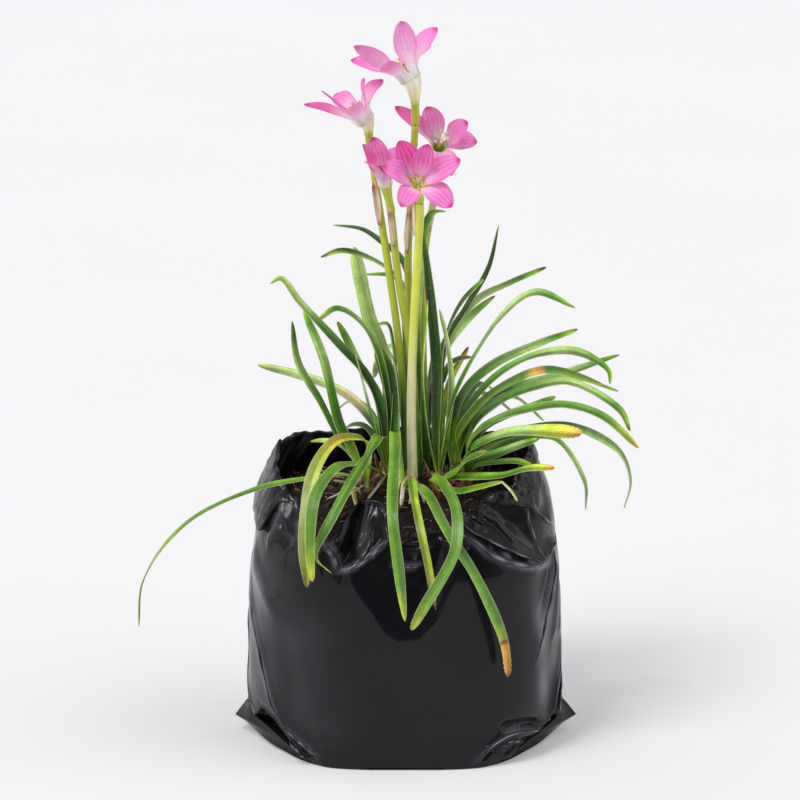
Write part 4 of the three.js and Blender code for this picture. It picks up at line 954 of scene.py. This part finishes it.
def filmShift(arc, height):               # how far the folds move the film outwards
    total = np.zeros(arc.shape)
    for route, rise, wideLeft, wideRight in creases:
        spot = np.array(route)
        margin = 3 * max(wideLeft, wideRight)
        near = (arc > spot[:, 0].min() - margin) & (arc < spot[:, 0].max() + margin) \
            & (height > spot[:, 1].min() - margin) & (height < spot[:, 1].max() + margin)
        nearest, share, left = nearRoute(arc[near], height[near], route)
        taper = np.minimum(1, 5 * np.minimum(share + 0.04, 1.04 - share))
        calm = 1 - 0.6 * smooth(92, 108, np.abs(arc[near]))      # the outline stays even
        total[near] += rise * calm * taper * np.exp(-(nearest / np.where(left, wideLeft, wideRight)) ** 1.4)
    for (middle, up), (along, tall), rise in swellings:
        total += rise * np.exp(-((arc - middle) / along) ** 2 - ((height - up) / tall) ** 2)
    over = np.clip(height - table(leanLine, arc), 0, leanReach)
    return total - leanSlope * over * over / (over + 2.5)


def filmHighlightShare(arc, height):                # how far painted highlights grey the film along its folds and sides
    much = np.zeros(arc.shape)
    for route, width, share in paintedFilmHighlights:
        nearest, along, _ = nearRoute(arc, height, route)
        much += share * np.minimum(1, 5 * np.minimum(along + 0.03, 1.03 - along)) * np.exp(-(nearest / width) ** 2)
    return much


def bagAngles():                          # from the back round to the back, finer in front
    turn = np.linspace(-1.5, 0.5, 4001) * math.pi
    middle = squircle(turn, bag["halfWidth"], bag["halfDepth"], bag["halfDepth"], bag["square"])
    way = np.stack([middle * np.cos(turn), middle * np.sin(turn)], axis=-1)
    arc = np.concatenate([[0], np.cumsum(np.linalg.norm(np.diff(way, axis=0), axis=1))])
    arc -= np.interp(-math.pi / 2, turn, arc)
    side, half = bag["fineReach"], bag["backSides"] // 2
    wanted = np.concatenate([np.linspace(arc[0], -side, half, endpoint=False),
                             np.linspace(-side, side, bag["frontSides"], endpoint=False),
                             np.linspace(side, arc[-1], half, endpoint=False)])
    return np.interp(wanted, arc, turn), wanted


def outwardOf(a):                         # level directions square to the film
    wide, deep, power = bag["halfWidth"], bag["halfDepth"], bag["square"] - 1
    middle = squircle(a, wide, deep, deep, bag["square"])
    x, y = middle * np.cos(a) / wide, middle * np.sin(a) / deep
    return unit(np.stack([np.sign(x) * np.abs(x) ** power / wide, np.sign(y) * np.abs(y) ** power / deep, 0 * x],
                         axis=-1))


def filmUv(arc, rings):                   # UV map from the arc and the height
    return np.stack(np.broadcast_arrays(arc / 10, rings[..., 2] / 10), axis=-1)


def wallRing(a, row, inset, cut):         # one level of the film; the upper ones follow the cut of the mouth
    z, w, f, b = row
    if z > 1:
        height, widths = np.full(a.shape, float(z)), (w, f, b)
        r = squircle(a, *widths, bag["square"])
    else:
        share = z * cut
        places = [0] + [u[0] for u in bag["upper"]]
        rows = np.array([squircle(a, *u[1:], bag["square"]) for u in [bag["rows"][-1]] + bag["upper"]])
        r = np.array([np.interp(s, places, rows[:, i]) for i, s in enumerate(share)])
        height = bag["shoulder"] + (rimHeight(a) - bag["shoulder"]) * share
    crumple = smooth(98, 122, height) * (0.35 * np.sin(9 * a + 1) + 0.25 * np.sin(14 * a + 2.2))
    return ringOf(a, r + crumple - inset, height)


def cornerTable(a, column):               # the corners' values; the back ones mirror the opposite front ones
    fromTip = np.degrees(np.arccos(np.abs(np.cos(a))))
    left = (np.cos(a) < 0) == (np.sin(a) < 0)
    return np.where(left, table(bag["leftCorner"], fromTip, column), table(bag["rightCorner"], fromTip, column))


def mouthCut(a, rim):
    return np.clip((rim - bag["shoulder"]) / (rimHeight(a) - bag["shoulder"]), 0.03, 1.15)


def innerWall(a, cut, inset, step):       # the inside of the film, clear of the hollows at the corners
    hollow = (cornerTable(a, 3) + 3) * cornerTable(a, 4)
    low = [wallRing(a, bag["rows"][0], inset + hollow, cut), wallRing(a, bag["rows"][1], inset + 0.2 * hollow, cut)]
    return curveRows(low + [wallRing(a, row, inset, cut) for row in bag["rows"][2:] + bag["upper"]], step)


def buildBag():
    a, arc = bagAngles()
    outward = outwardOf(a)
    rim = table(bag["rim"], arc) + 0.5 * ripple(np.stack([arc, 0 * arc], axis=-1), 12, 3)
    cut = mouthCut(a, rim)
    flat = squircle(a, bag["flatReach"], bag["flatDepth"], bag["flatDepth"], bag["flatSquare"])
    base = baseRadius(a)
    flat = np.minimum(flat, base - 4)
    flapTop, edge, depth, hollow = (cornerTable(a, k) for k in (1, 2, 3, 4))
    foot = [ringOf(a, 0.2 * flat, 0.0), ringOf(a, flat, 0.0), ringOf(a, base - 0.8, earLift(a, base)),
            ringOf(a, base, earLift(a, base) + bag["earThick"])]
    outer = [wallRing(a, row, 0, cut) for row in bag["rows"] + bag["upper"]]
    lower = outer[0].copy()
    lower[:, 2] = edge
    reach = np.linalg.norm(lower[:, :2], axis=1)
    top = np.maximum(flapTop, foot[3][:, 2] + 0.4)
    outermost = np.minimum(base - 0.6, bag["finTop"])
    deep = np.minimum(outermost, reach) - depth
    folded = [ringOf(a, outermost, top), ringOf(a, outermost - 1.1, top - 0.1), ringOf(a, deep, np.maximum(top - 3, 2)),
              ringOf(a, deep, np.maximum(edge - 1.5, top - 1)), ringOf(a, reach - 1.2, edge - 0.9)]
    spread = np.linspace(0, 1, len(folded) + 2)[1:-1]
    plain = [foot[3] + (lower - foot[3]) * share for share in spread]
    flap = [p + (q - p) * hollow[:, None] for p, q in zip(plain, folded)]
    wall = curveRows([foot[3]] + flap + [lower] + outer[1:], bag["rowStep"])
    footRows = curveRows(foot, 9)[:-1]
    # over the rim: the edge hangs down outside, turns and comes back up, and goes down inside
    lip = wall[-1]
    hang = table(bag["hang"], arc)
    reachOf = np.linalg.norm(wall[..., :2], axis=-1)
    cuffed = []
    for share in np.linspace(0.08, 1, 9):
        level = lip[:, 2] - hang * share
        r = np.array([np.interp(h, wall[::-1, i, 2][::-1], reachOf[:, i]) for i, h in enumerate(level)])
        cuffed.append(ringOf(a, r, level))
    loose = smooth(6, 22, hang)[:, None]
    downwards = [ring + outward * (0.35 + 0.9 * loose * (k / 8)) for k, ring in enumerate(cuffed)]
    upwards = [ring + outward * (1.1 + 0.3 * math.sin(3 * k) + 1.6 * loose * (1 - k / 8))
               for k, ring in enumerate(cuffed[::-1])]
    over = lip + outward * 0.5 + np.array([0, 0, 0.9])
    inside = ringOf(a, flat - 2, bag["wall"])
    rings = np.concatenate([footRows, wall, downwards, upwards, over[None],
                            innerWall(a, cut, bag["wall"], 9)[::-1], inside[None]])
    height = rings[..., 2]
    arcs = np.broadcast_to(arc, height.shape)
    shift = filmShift(arcs, height) + 0.35 * ripple(rings, 48, 5)
    # crumples along the hanging edge, most at the right front and the left
    messy = sum(much * np.exp(-((arc - middle) / wide) ** 2) for middle, wide, much in bag["crumpled"]) + 0.1
    nearRim = smooth(1.05, 0.75, (rim[None] - height) / (hang[None] + 1))
    crumples = (ripple(rings, 6, 8) + 0.7 * ripple(rings, 2.8, 9)) * messy[None] * nearRim
    live = smooth(1, 4, height)
    live[-1] = 0
    rings = rings + ((shift + crumples) * live)[..., None] * outward[None]
    rings[..., 2] = np.maximum(rings[..., 2], 0)
    shape = Shape()
    # the tint: painted highlights along the folds, and pale painted glints on the hanging edge and inside the mouth
    much = filmHighlightShare(arcs, height) * (0.9 + 0.25 * ripple(rings, 30, 12))
    first, last = len(footRows) + len(wall), len(rings)
    # soft pale spots near the top of the hanging edge and the inside: painted glints in place of crumpled film's
    # highlights
    paintedGlints = np.clip(ripple(rings[first:last], 5, 13), 0, 1) ** 2
    mouth = smooth(104, 132, height[first:last]) * (0.16 + 0.16 * smooth(110, 140, np.abs(arcs[first:last])))
    much[first:last] += paintedGlints * mouth
    much = np.clip(much, 0, 0.6)[..., None]
    shape.addRings(rings, filmUv(arc, rings), towards(linear(palette["film"]), "filmHighlight", much))
    newPiece("growBag", shape, blackFilm, "film", "grow_bag")
    return rings[len(footRows):first], arc


# Pleats: pinched edges of the film that catch the light. Route, width and height
pleats = [
    ([(35, 128), (39, 122), (46, 118), (53, 114), (65, 108), (79, 101.5)], 1.9, 1.3),
    ([(36, 120), (40, 117), (44, 113), (52, 108), (64, 103.5), (77, 100.5)], 3.4, 1.2),
    ([(-34, 102.8), (-33, 103.2), (-26, 106), (-20, 110), (-15, 114), (-8, 119)], 2.0, 1.4),
    ([(-47, 119), (-41, 114), (-37, 109), (-34.5, 103.5)], 3.2, 1.3),
    ([(-30, 106), (-25, 109), (-21, 114), (-20, 120)], 1.6, 0.9),
    ([(-104, 92), (-98, 77), (-92, 68), (-84, 57), (-79, 44), (-74, 30), (-69, 21), (-65, 16)], 1.9, 0.8),
    ([(-128, 66), (-115, 46), (-105, 30), (-97, 21)], 2.4, 0.9),
    ([(-67, 18.5), (-59, 14.5), (-52, 9.5), (-46, 4)], 1.7, 1.3),
    ([(-64, 12), (-58, 8), (-53.5, 3.5)], 1.6, 1.3),
    ([(34, 2), (38, 4.5), (43, 9), (47, 13), (53, 16.8), (58, 17.2), (70, 15.6), (79, 14.4), (86, 15.5), (88, 21),
      (89, 26), (93, 36), (98, 46), (102, 58)], 1.7, 1.2),
    ([(51, 11), (58, 13), (66, 11)], 1.4, 0.9),
    ([(97, 12), (98, 24), (102, 38)], 2.2, 0.9),
    ([(83, 131), (79, 122), (77, 110), (80, 102)], 1.6, 0.9),
    ([(82, 132), (85, 128), (89, 122), (99, 116), (113, 111)], 1.8, 1.2),
    ([(112, 108), (94, 106), (81, 102)], 2.0, 1.0),
    ([(95, 104), (90, 90), (82, 76), (75, 64), (70, 52)], 2.2, 0.8),
    ([(-87, 135), (-82, 133.4), (-75, 129.6), (-66, 125.5)], 1.5, 1.3),
    ([(-38, 132), (-33, 134), (-22, 134), (-16, 131)], 1.3, 1.0),
    ([(-9, 119), (-4, 117), (4, 116.6), (12, 119)], 1.2, 0.9),
    ([(-6, 106.5), (0, 105.5), (8, 106)], 1.6, 0.6),
    ([(-97, 139), (-92, 131), (-90, 122), (-93, 116)], 1.8, 1.2),
    ([(-104, 118), (-97, 119), (-92, 125), (-91, 134)], 1.8, 1.2),
]
pleatLook = {"steps": 60, "across": 9, "sunk": 0.8}


def buildPleats(wall, arc):
    # each route is laid on the outermost film at its place
    outward = outwardOf(bagAngles()[0])
    reach = np.linalg.norm(wall[..., :2], axis=-1)
    shape = Shape()
    look = pleatLook

    def onFilm(spot, up):
        i = int(np.argmin(np.abs(arc - spot)))
        z = wall[:, i, 2]
        above = z[:-1] - up
        crossing = np.nonzero(above * (z[1:] - up) <= 0)[0]
        if not len(crossing):
            crossing = [int(np.argmin(np.abs(z - up)))]
        k = max(crossing, key=lambda row: reach[row, i])
        return wall[k, i].copy(), outward[i]

    for route, width, height in pleats:
        path, _ = smoothRoute([(*spot, 0) for spot in route], look["steps"])
        spots = [onFilm(*p[:2]) for p in path]
        middle, up = np.array([p for p, _ in spots]), np.array([u for _, u in spots])
        for _ in range(3):                # takes out the steps between the film's rows
            middle[1:-1] = (middle[:-2] + 2 * middle[1:-1] + middle[2:]) / 4
        t = np.linspace(0, 1, look["steps"])
        taper = np.sin(np.clip(t, 0.01, 0.99) * math.pi) ** 0.5
        c = np.linspace(-1, 1, look["across"])
        calm = 1 - 0.7 * smooth(92, 106, np.abs(path[:, 0]))
        across = (0.4 * width * taper)[:, None] * c[None]
        ridge = (height * taper * calm)[:, None] * (1 - np.abs(c) ** 1.7)[None]
        rings = ringsAlong(middle, up, wrapped(across, across), wrapped(np.full_like(ridge, -look["sunk"]), ridge))
        # the top of each pleat is greyed by painted highlight
        crestHighlight = np.concatenate([np.zeros(len(c)), (1 - np.abs(c[::-1])) ** 0.8])[None] * taper[:, None] * 0.7
        crestHighlight = (crestHighlight * (0.7 + 0.5 * np.sin(t * 23 + width * 9))[:, None])[..., None]
        shape.addRings(rings, unrolled(np.concatenate([c, c[::-1]]) * 0.05, t * 5),
                       towards(linear(palette["film"]), "filmHighlight", crestHighlight))
    newPiece("filmPleats", shape, blackFilm, "film")


bagWall, bagArc = buildBag()
buildPleats(bagWall, bagArc)
print("bag ready")


# The earth: a lumpy top that follows the film's inside, with bark, grit, root fibres and perlite lying on it

earthLook = {
    "edge": 125.5, "mound": 4.0, "underRim": 2.0, "lump": 0.9, "lumpSize": 16, "clod": 0.55, "clodSize": 5,
    "clear": 0.45,          # room left to the film
}
# count per square metre, size in metres, seed, and the two tones of its material
crumbs = {
    "grit": {"density": 60000.0, "size": 0.0011, "seed": 3, "flatness": 0.75, "dark": "black", "pale": "soil"},
    "bark": {"density": 15000.0, "size": 0.0022, "seed": 5, "flatness": 0.45, "dark": "soil", "pale": "tunic"},
    "perlite": {"density": 4200.0, "size": 0.0009, "seed": 9, "flatness": 0.8, "dark": "stoneGrey", "pale": "white"},
}
# a fibre's size is its length, and its flatness stands for its radius
fibres = {"density": 5200.0, "size": 0.009, "seed": 21, "flatness": 0.00022, "dark": "tunicRed", "pale": "fibrePale"}


def buildEarth():
    a, arc = (values[::2] for values in bagAngles())
    rim = table(bag["rim"], arc)
    side = innerWall(a, mouthCut(a, rim), bag["wall"] + earthLook["clear"], 3.0)
    side = side + (filmShift(np.broadcast_to(arc, side.shape[:2]), side[..., 2]) - 0.4)[..., None] * outwardOf(a)
    level = np.minimum(earthLook["edge"], rim - earthLook["underRim"])
    edge = np.stack([np.array([np.interp(level[i], side[:, i, 2], side[:, i, k]) for i in range(len(a))])
                     for k in range(3)], axis=-1)
    edge[:, 2] = level
    low = side[side[:, :, 2].max(axis=1) < level.min() - 2]
    floor = ringOf(a, squircle(a, bag["flatReach"] - 3, bag["flatDepth"] - 3, bag["flatDepth"] - 3,
                               bag["flatSquare"]), bag["wall"] + 0.3)
    shares = np.linspace(1, 0.006, 64) ** 0.8
    top = edge * shares[:, None, None]
    top[..., 2] = level + (earthLook["edge"] + earthLook["mound"] - level) * smooth(1, 0.35, shares)[:, None]
    flat = top[..., :2]
    lumps = earthLook["lump"] * ripple(flat, earthLook["lumpSize"], 4) \
        + earthLook["clod"] * ripple(flat, earthLook["clodSize"], 6) + 0.3 * ripple(flat, 2.2, 7)
    top[..., 2] += lumps * smooth(1.0, 0.93, shares)[:, None]
    rings = np.concatenate([floor[None], low, top])
    shape = Shape()
    shape.addRings(rings, filmUv(arc, rings), linear(palette["soil"]))
    newPiece("pottingEarth", shape, earth, "soil", "soil")
    bed = Shape()                         # only the open top carries the crumbs
    bed.addRings(top[2:], np.zeros(2), np.zeros(3), caps=False)
    return bed


def scatterTree(name, fibre):
    # points on the bed, each with a turned and resized crumb or fibre
    tree = bpy.data.node_groups.new(name, "GeometryNodeTree")
    for label, kind in (("Geometry", "Geometry"), ("Density", "Float"), ("Size", "Float"), ("Flatness", "Float"),
                        ("Seed", "Int"), ("Material", "Material")):
        tree.interface.new_socket(label, in_out="INPUT", socket_type="NodeSocket" + kind)
    tree.interface.new_socket("Geometry", in_out="OUTPUT", socket_type="NodeSocketGeometry")
    given = tree.nodes.new("NodeGroupInput").outputs
    size, flatness, seed = given["Size"], given["Flatness"], given["Seed"]
    spots = node(tree, "GeometryNodeDistributePointsOnFaces",
                 {"Mesh": given["Geometry"], "Density": given["Density"], "Seed": seed}).outputs[0]
    if fibre:
        less, half, bow = (maths(tree, "MULTIPLY", size, share) for share in (-0.5, 0.5, 0.14))
        start, end = (node(tree, "ShaderNodeCombineXYZ", {"X": x}).outputs[0] for x in (less, half))
        peak = node(tree, "ShaderNodeCombineXYZ", {"Y": bow, "Z": bow}).outputs[0]
        bend = node(tree, "GeometryNodeCurveQuadraticBezier",
                    {"Resolution": 7, "Start": start, "Middle": peak, "End": end}).outputs[0]
        ring = node(tree, "GeometryNodeCurvePrimitiveCircle", {"Resolution": 5, "Radius": flatness}).outputs[0]
        crumb = node(tree, "GeometryNodeCurveToMesh", {"Curve": bend, "Profile Curve": ring, "Fill Caps": True})
    else:
        ball = node(tree, "GeometryNodeMeshIcoSphere", {"Radius": size, "Subdivisions": 2}).outputs["Mesh"]
        rough = node(tree, "ShaderNodeTexNoise", {"Scale": 900.0, "Detail": 1.0}).outputs["Color"]
        push = node(tree, "ShaderNodeVectorMath", {0: rough, 1: (0.5, 0.5, 0.5)}, operation="SUBTRACT").outputs[0]
        dented = node(tree, "GeometryNodeSetPosition",
                      {"Geometry": ball, "Offset": scaled(tree, scaled(tree, push, size), 2.2)}).outputs[0]
        squash = node(tree, "ShaderNodeCombineXYZ", {"X": 1.0, "Y": 0.75, "Z": flatness}).outputs[0]
        crumb = node(tree, "GeometryNodeTransform", {"Geometry": dented, "Scale": squash})
    tilt = 0.8 if fibre else 1.2
    turn = node(tree, "FunctionNodeRandomValue", {0: (-tilt, -tilt, 0.0), 1: (tilt, tilt, 6.28), "Seed": seed},
                data_type="FLOAT_VECTOR").outputs[0]
    grow = node(tree, "FunctionNodeRandomValue", {2: 0.45, 3: 1.35, "Seed": seed}, data_type="FLOAT").outputs[1]
    placed = node(tree, "GeometryNodeInstanceOnPoints", {"Points": spots, "Instance": crumb.outputs[0],
                                                         "Rotation": turn, "Scale": grow}).outputs[0]
    real = node(tree, "GeometryNodeRealizeInstances", {"Geometry": placed}).outputs[0]
    dressed = node(tree, "GeometryNodeSetMaterial", {"Geometry": real, "Material": given["Material"]}).outputs[0]
    feed(tree, tree.nodes.new("NodeGroupOutput"), {0: dressed})
    return tree


def scatter(name, bed, tree, values):
    mesh = bpy.data.meshes.new(name + "Bed")
    mesh.from_pydata((np.vstack(bed.points) * mm).tolist(), [], bed.faces)
    carrier = addObject(name + "Bed", mesh)
    modifier = carrier.modifiers.new("scatter", "NODES")
    modifier.node_group = tree
    for socket in tree.interface.items_tree:
        if socket.in_out == "INPUT" and socket.name.lower() in values:
            modifier[socket.identifier] = values[socket.name.lower()]
    bpy.context.view_layer.update()
    graph = bpy.context.evaluated_depsgraph_get()
    made = bpy.data.meshes.new_from_object(carrier.evaluated_get(graph))
    piece = addObject(name, made)
    bpy.data.objects.remove(carrier)
    made.polygons.foreach_set("use_smooth", [True] * len(made.polygons))
    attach(piece, "root")


earthBed = buildEarth()
crumbTree, fibreTree = scatterTree("crumbScatter", False), scatterTree("fibreScatter", True)
for name, data in crumbs.items():
    grain = grainMaterial(name + "Grain", data["dark"], data["pale"], 700.0, 0.85, 0.6)
    scatter(name, earthBed, crumbTree, {**data, "material": grain})
fibreSkin = grainMaterial("rootFibre", fibres["dark"], fibres["pale"], 160.0, 0.8, 0.4)
scatter("rootFibres", earthBed, fibreTree, {**fibres, "material": fibreSkin})
print("earth ready")


# Old tunics: reddish papery shreds standing round the foot of every tuft

shreds = {"perBulb": 11, "height": (4, 15), "width": (1.4, 3.0), "foot": 128.5, "ring": 3.8, "lean": 6.0, "stray": 1.5}
shredLook = dict(leafLook, columns=7, steps=14, thick=0.3, edgeThick=0.15, footShare=0.8, fullAt=0.3, channel=0.2)
shredTone = [(0, "tunic"), (0.5, "tunicRed"), (0.85, "tunicPale"), (1, "tan")]

rng = np.random.default_rng(41)
shape = Shape()
for x, y in [data["at"] for data in tufts.values()]:
    for k in range(shreds["perBulb"]):
        a = (k + rng.uniform(-0.3, 0.3)) / shreds["perBulb"] * 2 * math.pi
        out = np.array([math.cos(a), math.sin(a), 0])
        foot = np.array([x, y, shreds["foot"]]) + out * shreds["ring"]
        high = rng.uniform(*shreds["height"])
        lean = rng.uniform(-0.5, 1) * shreds["lean"]
        aside = [rng.uniform(-shreds["stray"], shreds["stray"]) for _ in "xy"]
        tip = foot + out * lean + np.array([*aside, high])
        middle = (foot + tip) / 2 + out * rng.uniform(-0.8, 0.6)
        addBlade(shape, [foot, middle, tip], rng.uniform(*shreds["width"]), shredTone, 500 + k, shredLook, -out,
                 edgeTone="tunicPale")
newPiece("oldTunics", shape, tunicSkin, "bulb")
print("tunics ready")


# Studio: pale floor, soft light and the photograph's camera

studio = {
    "floorSize": 30, "floorTone": (0.67, 0.69), "floorGlow": 0.2, "worldLight": 0.36, "tint": (1.0, 0.992, 1.014),
    # the dark in front: where it begins and is full (y and z of the direction), and the light left there
    "darkAhead": (-0.35, -0.85), "darkBelow": (0.75, 0.35), "dark": 0.06,
    # the bright side panels: where each begins and is full (x of the direction), and its strength
    "leftPanel": (-0.2, -0.6), "rightPanel": (0.8, 0.98), "sideGlow": 2.4,
    # where each broad lamp shines from, how wide it looks in degrees, and its strength
    "lamps": {"keyLamp": ((-0.55, -0.6, 1.1), 24, 1.4), "fillLamp": ((0.8, -0.25, 1.0), 50, 0.75),
              "sparkLamp": ((-0.25, -0.35, 1.0), 7, 0.3)},
    "camera": {"at": (-0.0025, -1.9, 0.673), "tilt": 75.3, "lens": 176.5, "sensor": 36},
}

floorMesh = bpy.data.meshes.new("studioFloor")
reach = studio["floorSize"]
floorMesh.from_pydata([(-reach, -reach, 0), (reach, -reach, 0), (reach, reach, 0), (-reach, reach, 0)], [],
                      [(0, 1, 2, 3)])
floor = addObject("studioFloor", floorMesh)
paper, tree, shader, place = startMaterial("paper")
pale = remap(tree, noise(tree, place, 3.0, 2.0), 0, 1, *studio["floorTone"])
feed(tree, shader, {"Base Color": scaled(tree, studio["tint"], pale), "Roughness": 0.8, "Specular IOR Level": 0.1,
                    "Emission Color": (*studio["tint"], 1), "Emission Strength": studio["floorGlow"]})
floorMesh.materials.append(paper)

world = bpy.data.worlds.new("studioWorld")
bpy.context.scene.world = world
world.use_nodes = True
sky = world.node_tree
direction = node(sky, "ShaderNodeSeparateXYZ", {0: node(sky, "ShaderNodeTexCoord").outputs["Generated"]}).outputs
below = remap(sky, direction["Z"], *studio["darkBelow"])
dim = maths(sky, "MULTIPLY", remap(sky, direction["Y"], *studio["darkAhead"]), below)
level = remap(sky, dim, 0, 1, 1.0, studio["dark"])
panels = maths(sky, "MAXIMUM", *(remap(sky, direction["X"], *studio[side]) for side in ("leftPanel", "rightPanel")))
glow = maths(sky, "MULTIPLY_ADD", maths(sky, "MULTIPLY", panels, below), studio["sideGlow"], level)
feed(sky, sky.nodes["Background"], {"Color": scaled(sky, studio["tint"], glow), "Strength": studio["worldLight"]})

for name, (comesFrom, angle, strength) in studio["lamps"].items():
    light = bpy.data.lights.new(name, "SUN")
    light.angle = math.radians(angle)
    light.energy = strength
    lamp = addObject(name, light)
    lamp.rotation_euler = Vector(comesFrom).to_track_quat("Z", "Y").to_euler()

camera = bpy.data.cameras.new("photoCamera")
camera.lens = studio["camera"]["lens"]
camera.sensor_width = studio["camera"]["sensor"]
viewer = addObject("photoCamera", camera)
viewer.location = studio["camera"]["at"]
viewer.rotation_euler = (math.radians(studio["camera"]["tilt"]), 0, 0)
bpy.context.scene.camera = viewer
bpy.context.scene.view_settings.view_transform = "Standard"
print("studio ready")
